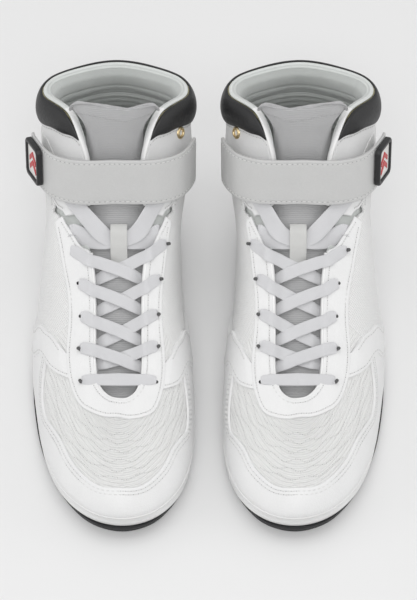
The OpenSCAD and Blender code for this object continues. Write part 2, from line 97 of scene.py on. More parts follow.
ANKLE_RING = [[0, -105, 49], [10, -102, 49.5], [21, -92, 52], [29, -73, 57], [33, -50, 66],
              [35, -23, 80], [37.5, 0, 92], [40, 21, 104], [42.5, 42, 113], [47, 61, 118],
              [49, 85, 118], [39, 113, 114], [20, 127, 111], [0, 132, 110]]
TOP_RING = [[0, -79, 58], [7, -77.5, 58.5], [13, -71, 61], [15.5, -58, 66], [15.5, -36, 79],
            [16, -12, 95], [18, 6, 109], [18, 27.5, 121.5], [18, 44.5, 152], [29, 69, 169],
            [47, 93, 161], [43, 111, 156], [23, 122.5, 154], [0, 127, 154]]


def wrapped(ring):
    """The ring with two mirrored stations before the toe and after the heel."""
    flip = [-1, 1, 1]
    r = np.array(ring, float)
    return np.vstack([r[2] * flip, r[1] * flip, r, r[12] * flip, r[11] * flip])


RINGS = [wrapped(r) for r in (FOOT_RING, WALL_RING, WAIST_RING, ANKLE_RING, TOP_RING)]


def spline(a, b, c, d, f):
    return 0.5 * (2 * b + (c - a) * f + (2 * a - 5 * b + 4 * c - d) * f**2
                  + (3 * b - a - 3 * c + d) * f**3)


def unit(v):
    return v / np.maximum(np.linalg.norm(v, axis=-1, keepdims=True), 1e-9)


def mix(a, b, f):
    return a + (b - a) * f


def smooth(x, low, high):
    f = np.clip((x - low) / (high - low), 0, 1)
    return f * f * (3 - 2 * f)


def value(x, *place):
    """The number x, or what the function x gives at a place."""
    return (x(*place) if callable(x) else x) + 0 * place[0]


def lookup(x, table):
    """A smooth curve through the table's points, flat past both ends."""
    t = np.array(table, float)
    x = np.asarray(x, float)
    slope = np.gradient(t[:, 1], t[:, 0])
    slope[0] = slope[-1] = 0
    k = np.clip(np.searchsorted(t[:, 0], x) - 1, 0, len(t) - 2)
    w = t[k + 1, 0] - t[k, 0]
    f = np.clip((x - t[k, 0]) / w, 0, 1)
    return ((2 * f**3 - 3 * f**2 + 1) * t[k, 1] + (f**3 - 2 * f**2 + f) * w * slope[k]
            + (3 * f**2 - 2 * f**3) * t[k + 1, 1] + (f**3 - f**2) * w * slope[k + 1])


def column(u):
    """Five ring points at each u: 0 at the toe, 13 at the heel, negative on the outer side."""
    w = np.where(u < 0, u + 2 * HEEL_U, u)
    inner = w <= HEEL_U
    t = np.where(inner, w, 2 * HEEL_U - w)
    i = np.minimum(np.floor(t).astype(int), HEEL_U - 1)
    f = (t - i)[:, None]
    mirror = np.where(inner, 1.0, -1.0)
    points = []
    for r in RINGS:
        p = spline(r[i + 1], r[i + 2], r[i + 3], r[i + 4], f)
        p[:, 0] *= mirror
        points.append(p)
    return np.stack(points, 1)


def toward_toe(y):
    """0 behind the ball, rising to 1 at the tip of the toe."""
    return np.clip((-60 - y) / 88, 0, 1)


def spring(y):
    return TOE_SPRING * toward_toe(y) ** 2


def foot_shape(p, v):
    x, y, z = p[:, 0], p[:, 1], p[:, 2]
    t = toward_toe(y)
    ball = np.exp(-(((y + 15) / 50) ** 2))
    arch = np.exp(-(((y - 15) / 40) ** 2))
    nx = (x + 5 * t * t - 4 * (1 - v) * ball - 12 * v * (1 - v) * arch
          + 2.5 * v**3 * np.clip((60 - y) / 60, 0, 1) * (1 - t))
    ny = y - 0.14 * x * np.clip(-y / 60, 0, 1) * np.clip((150 + y) / 70, 0, 1)
    return np.stack([nx, ny, z + spring(y)], 1)


def skin(u, v):
    """Points of the upper's outer surface, u round the foot and v from the sole (0) to the rim (1)."""
    c = column(u)
    n = len(u)
    k = np.clip(np.floor(4 * v).astype(int), 0, 3)
    rows = np.arange(n)
    low = np.where((k > 0)[:, None], c[rows, np.maximum(k - 1, 0)], 2 * c[:, 0] - c[:, 1])
    high = np.where((k < 3)[:, None], c[rows, np.minimum(k + 2, 4)], 2 * c[:, 4] - c[:, 3])
    p = spline(low, c[rows, k], c[rows, k + 1], high, (4 * v - k)[:, None])
    return foot_shape(p, v)


def slopes(u, v):
    """How the surface moves per unit of u and per unit of v."""
    du = 0.03
    v0, v1 = np.maximum(v - 0.01, 0), np.minimum(v + 0.01, 1)
    su = (skin(u + du, v) - skin(u - du, v)) / (2 * du)
    sv = (skin(u, v1) - skin(u, v0)) / (v1 - v0)[:, None]
    return su, sv


def on(u, v, h):
    """Points lifted off the surface by h."""
    u, v, h = np.broadcast_arrays(*(np.asarray(q, float) for q in (u, v, h)))
    shape = u.shape
    u, v, h = u.ravel(), v.ravel(), h.ravel()
    su, sv = slopes(u, v)
    return (skin(u, v) + h[:, None] * unit(np.cross(su, sv))).reshape(shape + (3,))


def normal(u, v):
    su, sv = slopes(np.atleast_1d(u).astype(float), np.atleast_1d(v).astype(float))
    return unit(np.cross(su, sv))


# ---- Edges of the panels, as v along u ----
def cap_top(u):
    return lookup(abs(u), [[0, 0.455], [1, 0.445], [1.7, 0.465], [2.4, 0.495], [2.9, 0.46],
                           [3.3, 0.42], [3.6, 0.44], [3.9, 0.51], [4.2, 0.58], [4.5, 0.615], [5, 0.62]])


def stay_edge(u):
    return lookup(abs(u), [[0, 0.875], [1, 0.85], [1.8, 0.81], [2.5, 0.755], [3, 0.745],
                           [3.9, 0.76], [4.5, 0.8], [6, 0.81], [7.3, 0.79]])


def notch_edge(u):
    return lookup(abs(u), [[5.9, 0.99], [6.1, 0.95], [6.55, 0.9], [6.9, 0.865], [7.3, 0.83],
                           [7.6, 0.79]])


def rear(u):
    w = np.where(u < 0, u + 2 * HEEL_U, u)
    return np.where(w > HEEL_U, 2 * HEEL_U - w, w)


def collar_low(u):
    return lookup(rear(u), [[8.3, 0.985], [8.6, 0.965], [8.85, 0.935], [9.4, 0.9], [10, 0.865],
                            [13, 0.85]])


def swell(u, v):
    """The padding of the collar, from 0 at its edges to 1 in its middle."""
    low = collar_low(u)
    s = np.clip((v - low) / (1.001 - low), 0, 1)
    bulge = np.maximum(np.sin(np.pi * s), 0) ** 0.6
    return np.where(rear(u) < 8.3, 0, bulge * np.clip((rear(u) - 8.3) / 0.7, 0, 1))


def ripple(p, length, seed):
    """A soft, steady unevenness between -1 and 1, from four crossing waves."""
    out = 0
    for k in range(4):
        a = seed * 1.7 + k * 2.4
        d = np.array([math.sin(a), math.cos(a * 1.3), math.sin(a * 0.7 + 1)])
        out = out + np.sin((p @ d) * 2 * np.pi / (length * (1 + 0.37 * k)) + a * 3)
    return out / 4


# ---- Meshes ----
class Part:
    """The mesh of one piece in the right boot's own frame, with its cloth coordinates in millimetres."""

    def __init__(self):
        self.verts, self.uvs, self.faces, self.mats, self.count = [], [], [], [], 0

    def add(self, verts, faces, uv, mat=0):
        verts = np.asarray(verts, float).reshape(-1, 3)
        self.verts.append(verts)
        self.uvs.append(np.asarray(uv, float).reshape(-1, 2))
        faces = np.asarray(faces, int) + self.count
        self.faces.extend(faces.tolist())
        self.mats.extend([mat] * len(faces))
        self.count += len(verts)


def grid(cols, rows, closed_cols=False, closed_rows=False):
    """Quads of a grid of points with cols x rows points, rows running fastest."""
    i = np.arange(cols if closed_cols else cols - 1)
    j = np.arange(rows if closed_rows else rows - 1)
    i, j = (q.ravel() for q in np.meshgrid(i, j, indexing="ij"))
    a = i * rows + j
    b = ((i + 1) % cols) * rows + j
    c = ((i + 1) % cols) * rows + (j + 1) % rows
    d = i * rows + (j + 1) % rows
    return np.stack([a, b, c, d], 1)


def faces_out(verts, quads, outward):
    """The quads, turned if most of them face against outward."""
    p = verts[quads]
    n = np.cross(p[:, 2] - p[:, 0], p[:, 3] - p[:, 1])
    return quads if (n * outward).sum() > 0 else quads[:, ::-1]


def sheet(part, top, bottom, uv):
    """A closed sheet between two grids of points."""
    cols, rows = top.shape[:2]
    n = cols * rows
    verts = np.vstack([top.reshape(-1, 3), bottom.reshape(-1, 3)])
    quads = grid(cols, rows)
    skins = faces_out(verts, quads, (verts[:n] - verts[n:])[quads[:, 0]])
    border = np.concatenate([np.arange(cols) * rows, (cols - 1) * rows + np.arange(1, rows),
                             np.arange(cols - 2, -1, -1) * rows + rows - 1,
                             np.arange(rows - 2, 0, -1)])
    after = np.roll(border, -1)
    rim = np.stack([border + n, after + n, after, border], 1)
    if not np.array_equal(skins, quads):
        rim = rim[:, ::-1]
    uv = uv.reshape(-1, 2)
    part.add(verts, np.vstack([skins, skins[:, ::-1] + n, rim]), np.vstack([uv, uv]))


def sweep(part, rings, centre, uv, mat, closed=False):
    """A skin over rings of points round a centre line, with flat ends unless the line is closed."""
    n, sides = rings.shape[:2]
    flat = rings.reshape(-1, 3)
    quads = grid(n, sides, closed_cols=closed, closed_rows=True)
    quads = faces_out(flat, quads, (rings - centre[:, None]).reshape(-1, 3)[quads[:, 0]])
    part.add(flat, quads, uv, mat)
    if closed:
        return
    base = part.count - n * sides
    for k, away in ((0, centre[0] - centre[1]), (n - 1, centre[-1] - centre[-2])):
        arm = rings[k] - centre[k]
        face = [base + k * sides + j for j in range(sides)]
        out = np.cross(arm, np.roll(arm, -1, axis=0)).sum(0) @ away > 0
        part.faces.append(face if out else face[::-1])
        part.mats.append(mat)


EASE = np.array([0, 0.06, 0.22, 0.5, 1.0])


def steps(length, count, roll0, roll1):
    """Places from 0 to 1 across each length, close together where an edge is rolled."""
    length = np.atleast_1d(length)[:, None]
    start = EASE[None, :] * np.minimum(roll0, 0.4 * length) / length
    end = 1 - EASE[None, ::-1] * np.minimum(roll1, 0.4 * length) / length
    if roll0 == 0:
        start = start[:, :1]
    if roll1 == 0:
        end = end[:, -1:]
    f = np.linspace(0, 1, count + 1)[None, 1:-1]
    return np.hstack([start, mix(start[:, -1:], end[:, :1], f), end])


def roll(distance, radius, depth):
    if radius == 0:
        return 0 * distance
    f = np.clip(1 - distance / radius, 0, 1)
    return depth * (1 - np.sqrt(1 - f * f))


def lengths(points):
    """Running length along the last-but-one axis."""
    d = np.linalg.norm(np.diff(points, axis=-2), axis=-1)
    return np.concatenate([np.zeros(d.shape[:-1] + (1,)), np.cumsum(d, -1)], -1)


def shell(part, cut, na, nb, low, high, rolls=(0, 0, 0, 0), relief=None, inner_relief=None):
    """A closed panel between two lifts off the skin, each a number or a function of u and v.

    cut(a, b) gives u and v for a and b from 0 to 1, and rolls are the radii of the rounded edges at
    a = 0, a = 1, b = 0 and b = 1.
    """
    probe = np.linspace(0, 1, 33)
    run_a = lengths(on(*cut(probe, np.full(33, 0.5)), 0))[-1]
    a = steps(run_a, na, rolls[0], rolls[1])[0]
    pa, pb = np.meshgrid(a, np.linspace(0, 1, 13), indexing="ij")
    run_b = lengths(on(*cut(pa, pb), 0))[:, -1]
    b = steps(run_b, nb, rolls[2], rolls[3])
    a = np.repeat(a[:, None], b.shape[1], 1)
    u, v = cut(a, b)
    low, high = value(low, u, v), value(high, u, v)
    x, y = a * run_a, b * run_b[:, None]
    far = [x, run_a - x, y, run_b[:, None] - y]
    drop = sum(roll(d, r, 0.8 * (high - low)) for d, r in zip(far, rolls))
    top = on(u, v, high - np.minimum(drop, 0.85 * (high - low)))
    bottom = on(u, v, low)
    if relief is not None:
        top = top + relief(top, u, v)[..., None] * unit(top - bottom)
    if inner_relief is not None:
        bottom = bottom + inner_relief(bottom, u, v)[..., None] * unit(top - bottom)
    sheet(part, top, bottom, np.stack([x, y], -1))


def panel(part, u0, u1, na, nb, bottom, top, low, high, rolls=(0, 0, 0, 0), **more):
    """A panel whose lower and upper edges are numbers or functions of u."""

    def cut(a, b):
        u = mix(u0, u1, a)
        return u, mix(value(bottom, u), value(top, u), b)

    shell(part, cut, na, nb, low, high, rolls, **more)


def resample(points, spacing=None, count=None):
    """Even points along a line of points."""
    run = lengths(points)
    if count is None:
        count = max(2, int(round(run[-1] / spacing)) + 1)
    at = np.linspace(0, run[-1], count)
    return np.stack([np.interp(at, run, points[:, k]) for k in range(points.shape[1])], 1)


def sideways(path, distance):
    """A line of (u, v) moved across the surface by a distance, to the left of its direction."""
    u, v = path[:, 0], path[:, 1]
    su, sv = slopes(u, v)
    t = np.gradient(skin(u, v), axis=0)
    w = unit(np.cross(np.cross(su, sv), t)) * distance
    uu, vv, uv = (su * su).sum(1), (sv * sv).sum(1), (su * sv).sum(1)
    wu, wv = (w * su).sum(1), (w * sv).sum(1)
    det = uu * vv - uv * uv
    return np.stack([u + (wu * vv - wv * uv) / det, v + (wv * uu - wu * uv) / det], 1)


def edge_line(u0, u1, edge, count=160):
    u = np.linspace(u0, u1, count)
    return np.stack([u, value(edge, u)], 1)


STITCH, GAP, THREAD = 2.3, 1.0, 0.34
STITCH_RINGS = np.array([[-0.5, 0.05, -0.75], [-0.42, 0.75, -0.25], [-0.18, 1.0, 0.1],
                         [0.18, 1.0, 0.1], [0.42, 0.75, -0.25], [0.5, 0.05, -0.75]])
STITCH_SIDES = 6


def stitches(part, points, normals, mat, hole_shade_mat, length=STITCH, gap=GAP, radius=THREAD):
    """A row of stitches along a line of points on a surface, with a flat disc of painted shade for the
    needle hole at each end.
    """
    both = resample(np.hstack([points, normals]), spacing=0.5)
    points, normals = both[:, :3], unit(both[:, 3:])
    run = lengths(points)
    count = max(1, int(run[-1] / (length + gap)))
    pitch = run[-1] / count
    centre = (np.arange(count) + 0.5) * pitch

    def at(s, q):
        return np.stack([np.interp(s, run, q[:, k]) for k in range(3)], 1)

    def axes(s, reach):
        c, n = at(s, points), unit(at(s, normals))
        t = unit(at(s + reach, points) - at(s - reach, points))
        return c, n, t, unit(np.cross(n, t))

    c, n, t, b = axes(centre, length / 2)
    turn = np.arange(STITCH_SIDES) * 2 * np.pi / STITCH_SIDES
    rings = []
    for s, r, lift in STITCH_RINGS:
        base = c + t * (s * length) + n * (lift * radius)
        ring = (base[:, None] + b[:, None] * (radius * r * np.cos(turn))[None, :, None]
                + n[:, None] * (radius * 0.8 * r * np.sin(turn))[None, :, None])
        rings.append(ring)
    verts = np.stack(rings, 1)
    quads = grid(len(STITCH_RINGS), STITCH_SIDES, closed_rows=True)
    m = len(STITCH_RINGS) * STITCH_SIDES
    faces = (quads[None] + (np.arange(count) * m)[:, None, None]).reshape(-1, 4)
    along = (centre[:, None, None] + STITCH_RINGS[None, :, :1] * length) + 0 * turn[None, None]
    uv = np.stack([along, 0 * along + turn[None, None]], -1)
    part.add(verts, faces[:, ::-1], uv, mat)
    # Each needle hole is a flat grey disc just off the surface: painted shade, not a real hole
    c, n, t, b = axes(np.clip(np.arange(count + 1) * pitch, 0.2, run[-1] - 0.2), 0.1)
    disc = np.stack([c + n * 0.03] + [c + n * 0.05 + (t * math.cos(k) * 1.2 + b * math.sin(k)) * radius
                                      for k in turn], 1)
    fan = np.array([[0, 1 + k, 1 + (k + 1) % STITCH_SIDES] for k in range(STITCH_SIDES)])
    faces = (fan[None] + (np.arange(count + 1) * (STITCH_SIDES + 1))[:, None, None]).reshape(-1, 3)
    part.add(disc, faces, np.zeros((disc.shape[0] * disc.shape[1], 2)), hole_shade_mat)


def stitch_path(part, path, h, mat, hole_shade_mat, **more):
    """Stitches along a line of (u, v), at a height off the surface."""
    u, v = path[:, 0], path[:, 1]
    stitches(part, on(u, v, h), normal(u, v), mat, hole_shade_mat, **more)


def sew(part, line, inset, h=OVERLAY_HIGH + THREAD_LIFT):
    """A row of thread beside a line of (u, v)."""
    stitch_path(part, sideways(line, inset), h, YARN, PRICK_SHADE)


def tube(part, centre, side, up, half_w, half_h, mat, sides=10, power=1.0):
    """A tube along centre, half_w wide along side and half_h high along up. Ends are closed."""
    turn = np.arange(sides) * 2 * np.pi / sides
    cosine = np.sign(np.cos(turn)) * np.abs(np.cos(turn)) ** power
    sine = np.sign(np.sin(turn)) * np.abs(np.sin(turn)) ** power
    n = len(centre)
    half_w = np.broadcast_to(half_w, (n,))[:, None, None]
    half_h = np.broadcast_to(half_h, (n,))[:, None, None]
    ring = (centre[:, None] + side[:, None] * half_w * cosine[None, :, None]
            + up[:, None] * half_h * sine[None, :, None])
    run = lengths(centre)
    around = np.linspace(0, 2 * (half_w.mean() + half_h.mean()) * 1.5, sides)
    sweep(part, ring, centre, np.stack(np.meshgrid(run, around, indexing="ij"), -1), mat)


def catmull(points, per=8):
    """A smooth line through points, each a row of numbers."""
    p = np.asarray(points, float)
    p = np.vstack([2 * p[0] - p[1], p, 2 * p[-1] - p[-2]])
    f = np.arange(per)[:, None] / per
    rows = [spline(p[i - 1], p[i], p[i + 1], p[i + 2], f) for i in range(1, len(p) - 2)]
    return np.vstack(rows + [p[-2:-1]])


# ---- Materials: every pattern is laid out in millimetres along the piece ----
class Look:
    """A material's node tree, with the pattern coordinates ready."""

    def __init__(self, name, color, roughness, **constants):
        self.mat = bpy.data.materials.new(name)
        self.mat.use_nodes = True
        self.tree = self.mat.node_tree
        self.shader = self.tree.nodes["Principled BSDF"]
        self.shader.inputs["Base Color"].default_value = (*color, 1)
        self.shader.inputs["Roughness"].default_value = roughness
        for key, setting in constants.items():
            self.shader.inputs[key.replace("_", " ")].default_value = setting
        self.color = color
        self.uv = self.node("ShaderNodeUVMap")
        self.uv.uv_map = "cloth"
        self.height = None

    def node(self, kind, **settings):
        n = self.tree.nodes.new(kind)
        for key, setting in settings.items():
            socket = key.replace("_", " ")
            if socket in n.inputs:
                n.inputs[socket].default_value = setting
            else:
                setattr(n, key, setting)
        return n

    def link(self, a, b):
        self.tree.links.new(a, b)

    def math(self, operation, a, b):
        n = self.node("ShaderNodeMath", operation=operation)
        for socket, term in zip(n.inputs, (a, b)):
            if isinstance(term, (int, float)):
                socket.default_value = term
            else:
                self.link(term, socket)
        return n.outputs[0]

    def noise(self, size, detail=3):
        n = self.node("ShaderNodeTexNoise", Scale=1 / size, Detail=detail)
        self.link(self.uv.outputs[0], n.inputs["Vector"])
        return n.outputs[0]

    def cells(self, size, randomness=1.0):
        n = self.node("ShaderNodeTexVoronoi", Scale=1 / size, Randomness=randomness)
        self.link(self.uv.outputs[0], n.inputs["Vector"])
        return n.outputs["Distance"]

    def bands(self, size, direction, distortion=0.0):
        n = self.node("ShaderNodeTexWave", bands_direction=direction, Scale=0.31416 / size,
                      Distortion=distortion)
        self.link(self.uv.outputs[0], n.inputs["Vector"])
        return n.outputs["Fac"]

    def bump(self, height, depth, strength=1.0):
        """Adds a bump whose depth is in millimetres."""
        n = self.node("ShaderNodeBump", Strength=strength, Distance=depth / 1000)
        self.link(height, n.inputs["Height"])
        if self.height is not None:
            self.link(self.height, n.inputs["Normal"])
        self.height = n.outputs[0]
        self.link(self.height, self.shader.inputs["Normal"])

    def tint(self, factor, dark, light):
        """Colours the piece from dark to light times its own colour."""
        ramp = self.node("ShaderNodeValToRGB")
        low, high = ramp.color_ramp.elements
        low.color = (*[c * dark for c in self.color], 1)
        high.color = (*[min(1, c * light) for c in self.color], 1)
        self.link(factor, ramp.inputs[0])
        self.link(ramp.outputs[0], self.shader.inputs["Base Color"])

    def gloss(self, factor, low, high):
        ramp = self.node("ShaderNodeMapRange", To_Min=low, To_Max=high)
        self.link(factor, ramp.inputs["Value"])
        self.link(ramp.outputs[0], self.shader.inputs["Roughness"])


def leather(name, color, roughness, grain=0.9, depth=0.12, wear=0.94):
    look = Look(name, color, roughness, Coat_Weight=0.05, Coat_Roughness=0.35)
    grains = look.cells(grain)
    broad = look.noise(14, 4)
    look.bump(look.noise(6, 4), 0.25, 0.6)
    look.bump(grains, depth)
    look.tint(look.math("ADD", look.math("MULTIPLY", grains, 0.35), look.math("MULTIPLY", broad, 0.7)),
              wear, 1.03)
    look.gloss(look.noise(3, 3), roughness - 0.06, roughness + 0.1)
    return look.mat


def rubber(name, color, roughness, depth=0.05):
    look = Look(name, color, roughness, Specular_IOR_Level=0.45)
    look.bump(look.noise(0.35, 3), depth)
    look.tint(look.noise(18, 5), 0.93, 1.04)
    look.gloss(look.noise(5, 4), roughness - 0.06, roughness + 0.1)
    return look.mat


def weave(name, color, roughness, warp, weft, depth=0.12, sheen=0.25, contrast=0.9):
    """Crossing threads, warp and weft wide."""
    look = Look(name, color, roughness, Sheen_Weight=sheen, Sheen_Roughness=0.4)
    across = look.bands(warp, "X", 0.4)
    down = look.bands(weft, "Y", 0.4)
    threads = look.math("MAXIMUM", across, down)
    look.bump(threads, depth)
    look.tint(look.math("ADD", look.math("MULTIPLY", threads, 0.5),
                        look.math("MULTIPLY", look.noise(9, 4), 0.5)), contrast, 1.03)
    look.gloss(threads, roughness + 0.08, roughness - 0.05)
    return look.mat


def dotted(name, color, size, depth, wave=False):
    """A knitted mesh with rows of small holes, and woven waves on the vamp."""
    look = Look(name, color, 0.68, Sheen_Weight=0.3, Sheen_Roughness=0.45)
    holes = look.cells(size, 0.12)
    pit = look.node("ShaderNodeMapRange", interpolation_type="SMOOTHSTEP", From_Min=0.18, From_Max=0.42)
    look.link(holes, pit.inputs["Value"])
    fine = look.bands(0.45, "DIAGONAL", 0.6)
    look.bump(fine, 0.05)
    look.bump(pit.outputs[0], depth)
    shade = look.math("ADD", look.math("MULTIPLY", pit.outputs[0], 0.7),
                      look.math("MULTIPLY", look.noise(7, 4), 0.3))
    if wave:
        waves = look.bands(2.6, "Y", 3.5)
        look.bump(waves, 0.22)
        shade = look.math("ADD", look.math("MULTIPLY", shade, 0.75), look.math("MULTIPLY", waves, 0.25))
    look.tint(shade, 0.86, 1.04)
    return look.mat


def plain(name, color, roughness, size=3.0, depth=0.1, low=0.9, high=1.05, **constants):
    look = Look(name, color, roughness, **constants)
    grain = look.noise(size, 4)
    look.bump(grain, depth)
    look.tint(grain, low, high)
    return look.mat


def metal(name, color):
    look = Look(name, color, 0.28, Metallic=1.0)
    look.bump(look.noise(0.8, 3), 0.02)
    look.tint(look.noise(2.5, 4), 0.8, 1.08)
    look.gloss(look.noise(1.6, 3), 0.2, 0.42)
    return look.mat


WHITE = leather("white_leather", (0.8, 0.8, 0.8), 0.42)
# The strap is the white leather made darker grey: painted shade for a strap facing away from the top light
SHADED_STRAP = leather("strap_leather", (0.57, 0.57, 0.565), 0.45, grain=1.2, depth=0.1)
PIPING = leather("piping_leather", (0.86, 0.86, 0.855), 0.4, grain=0.7, depth=0.06)
BLACK = leather("black_leather", (0.014, 0.014, 0.015), 0.46, grain=1.0, depth=0.14, wear=0.7)
THREAD_MAT = weave("thread", (0.74, 0.74, 0.73), 0.6, 0.5, 0.6, 0.08)
# Grey for the flat needle-hole discs: painted shade in place of real holes
NEEDLE_HOLE_SHADE = plain("needle_hole_shade", (0.42, 0.42, 0.42), 0.9, 0.5)
# Near-black for the cup inside each eyelet hole: painted shade in the hollow
EYELET_SHADE = plain("eyelet_hole_shade", (0.1, 0.1, 0.1), 0.9, 0.6)
SOLE_WHITE = rubber("white_rubber", (0.83, 0.83, 0.825), 0.36)
SOLE_BLACK = rubber("black_rubber", (0.016, 0.016, 0.018), 0.5, 0.09)
WAVES = dotted("wave_mesh", (0.83, 0.83, 0.82), 1.15, 0.22, wave=True)
DOTS = dotted("dot_mesh", (0.82, 0.82, 0.815), 1.3, 0.25)
SATIN = weave("tongue_satin", (0.47, 0.47, 0.475), 0.5, 0.35, 1.25, 0.16, 0.5, 0.86)
LINING = weave("lining_textile", (0.74, 0.765, 0.745), 0.75, 0.6, 0.8, 0.15, 0.4, 0.84)
TEXTILE = weave("insole_textile", (0.72, 0.73, 0.71), 0.8, 0.7, 0.7, 0.14, 0.35)
COTTON = weave("lace_cotton", (0.7, 0.7, 0.715), 0.62, 0.55, 0.5, 0.13, 0.35, 0.88)
WEBBING = weave("webbing", (0.68, 0.68, 0.665), 0.66, 0.7, 0.55, 0.18, 0.3, 0.86)
BOARD = plain("board", (0.62, 0.55, 0.42), 0.85, 1.2, 0.15, 0.8, 1.1)
STIFFENER = plain("stiffener", (0.66, 0.6, 0.5), 0.7, 2, 0.1)
FOAM = plain("foam", (0.84, 0.78, 0.5), 0.9, 0.7, 0.3, 0.8, 1.05)
HOOK = weave("hook_nylon", (0.05, 0.05, 0.055), 0.55, 1.2, 1.2, 0.35, 0.1, 0.5)
LOOP = plain("loop_nylon", (0.8, 0.8, 0.79), 0.85, 0.5, 0.35, 0.82, 1.05, Sheen_Weight=0.5)
BADGE_RUBBER = rubber("badge_rubber", (0.014, 0.014, 0.015), 0.4, 0.06)
BADGE_PANEL = rubber("badge_panel", (0.8, 0.79, 0.77), 0.35, 0.03)
BADGE_RED = rubber("badge_red", (0.5, 0.03, 0.035), 0.35, 0.03)
BRASS = metal("brass", (0.83, 0.66, 0.38))
FLOOR = plain("studio_floor", (0.68, 0.68, 0.68), 0.75, 0.4, 0.02, 0.99, 1.01,
              Emission_Color=(1, 1, 1, 1), Emission_Strength=0.12)


# ---- Placing ----
def place(points, side):
    """Points of the right boot's frame, in millimetres, put where that boot or the left one stands."""
    p = np.asarray(points, float).reshape(-1, 3)
    x = p[:, 0] - BOOT_OFFSET
    return np.stack([x if side == "right" else -x, p[:, 1] + FORE_SHIFT, p[:, 2]], 1) / 1000


def lay_cloth(mesh, uvs):
    """Gives each face corner its point's place on the cloth."""
    layer = mesh.uv_layers.get("cloth") or mesh.uv_layers.new(name="cloth")
    corner = np.zeros(len(mesh.loops), np.int32)
    mesh.loops.foreach_get("vertex_index", corner)
    layer.data.foreach_set("uv", uvs[corner].astype(np.float32).ravel())


def build(part, name, side, mats, merge=False, sharp=48):
    verts = place(np.vstack(part.verts), side)
    faces = part.faces if side == "right" else [f[::-1] for f in part.faces]
    mesh = bpy.data.meshes.new(f"{side}_{name}_look")
    mesh.from_pydata(verts.tolist(), [], faces)
    lay_cloth(mesh, np.vstack(part.uvs))
    mesh.polygons.foreach_set("use_smooth", [True] * len(faces))
    mesh.polygons.foreach_set("material_index", part.mats)
    for m in mats:
        mesh.materials.append(m)
    if merge:
        bm = bmesh.new()
        bm.from_mesh(mesh)
        bmesh.ops.remove_doubles(bm, verts=bm.verts, dist=1e-6)
        bm.to_mesh(mesh)
        bm.free()
    mesh.set_sharp_from_angle(angle=math.radians(sharp))
    mesh.validate()
    piece = bpy.data.objects.new(f"{side}_{name}_look", mesh)
    bpy.context.scene.collection.objects.link(piece)
    return piece


def fit(part, name, mats, body="boot", nodes=None, slot=None, **more):
    """Both boots' pieces of a part, riding on their bodies and standing for their CAD nodes."""
    pieces = []
    for side in ("right", "left"):
        piece = build(part, name, side, mats, **more)
        if body is not None:
            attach(piece, f"{side}_{body}")
        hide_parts(*[f"{side}_{n}" for n in (nodes or [name])])
        pieces.append(piece)
    return pieces


SEWN = [WHITE, THREAD_MAT, NEEDLE_HOLE_SHADE, EYELET_SHADE]
LEATHER, YARN, PRICK_SHADE, SHADED_HOLLOW = range(4)


# ---- Sole ----
def outline(u, grow):
    """The sole's edge in plan, grown outwards."""
    p, a, b = (foot_shape(column(q)[:, 1], np.zeros(len(u))) for q in (u, u - 0.05, u + 0.05))
    t = unit(b[:, :2] - a[:, :2])
    return p[:, :2] + np.stack([t[:, 1], -t[:, 0]], 1) * np.reshape(grow, (-1, 1))


def loft(part, rings, mat, tread=None):
    """A closed solid from rings of edge points, joined across the foot by flat strips."""
    n, m = rings.shape[:2]
    run = np.append(lengths(np.vstack([rings[:, 0], rings[:1, 0]])), 0)[:n]
    height = lengths(rings.mean(0))
    uv = np.stack(np.meshgrid(run, height, indexing="ij"), -1)
    quads = grid(n, m, closed_cols=True)
    flat = rings.reshape(-1, 3)
    centre = flat.mean(0)
    quads = faces_out(flat, quads, (flat - centre)[quads[:, 0]] * [1, 1, 0])
    part.add(flat, quads, uv, mat)
    half, across = n // 2, 48
    s = np.linspace(0, 1, across + 1)[None, :, None]
    for level, sign in ((0, -1), (m - 1, 1)):
        a = rings[:half + 1, level]
        b = rings[[-k % n for k in range(half + 1)], level]
        sheet = mix(a[:, None], b[:, None], s)
        if tread is not None and level == 0:
            sheet[..., 2] += tread(sheet, np.linalg.norm(b - a, axis=1)[:, None], s[..., 0])
        quads = grid(half + 1, across + 1)
        flat = sheet.reshape(-1, 3)
        quads = faces_out(flat, quads, np.tile([0, 0, float(sign)], (len(quads), 1)))
        part.add(flat, quads, flat[:, :2], mat)


SOLE_U = np.arange(260) * 2 * HEEL_U / 260


def tread(p, width, s):
    """Herringbone grooves inside a plain rim, round a pivot disc under the ball."""
    x, y = p[..., 0], p[..., 1]
    edge = np.minimum(s, 1 - s) * width
    pivot = np.hypot(x - 1, y + 52)
    wave = np.sin((y + 0.7 * abs(x)) * 2 * np.pi / 8)
    rings = np.sin(pivot * 2 * np.pi / 6)
    wave = np.where(pivot < 21, rings, wave)
    cut = smooth(wave, 0.0, 0.45) * smooth(edge, 4, 5.5) * smooth(abs(pivot - 22), 0.4, 1.4)
    waist = smooth(abs(y - 18), 16, 24)
    return 1.3 * cut * waist + 1.0 * (1 - waist) * smooth(edge, 4, 9)


def make_outsole():
    part = Part()
    profile = [[-0.7, 0], [-0.15, 0.12], [0, 0.6], [0, 1.5], [-0.25, 1.75], [0, 2.0], [0, 3.0],
               [-0.15, 3.35], [-0.7, 3.5]]
    signed = np.where(SOLE_U > HEEL_U, SOLE_U - 2 * HEEL_U, SOLE_U)
    lip = lookup(signed, [[-7.2, -1.2], [-6, 0.2], [-5, OUTSOLE_LIP], [-3.6, OUTSOLE_LIP], [-2.7, -1.0],
                          [-1.7, -0.6], [-1.1, OUTSOLE_LIP], [1.1, OUTSOLE_LIP], [1.7, -0.6], [2.6, -1.2]])
    rings = []
    for grow, z in profile:
        edge = outline(SOLE_U, 1 + lip + grow)
        rings.append(np.column_stack([edge, z + spring(edge[:, 1])]))
    loft(part, np.stack(rings, 1), 0, tread)
    fit(part, "outsole", [SOLE_BLACK], slot="black_rubber", merge=True)


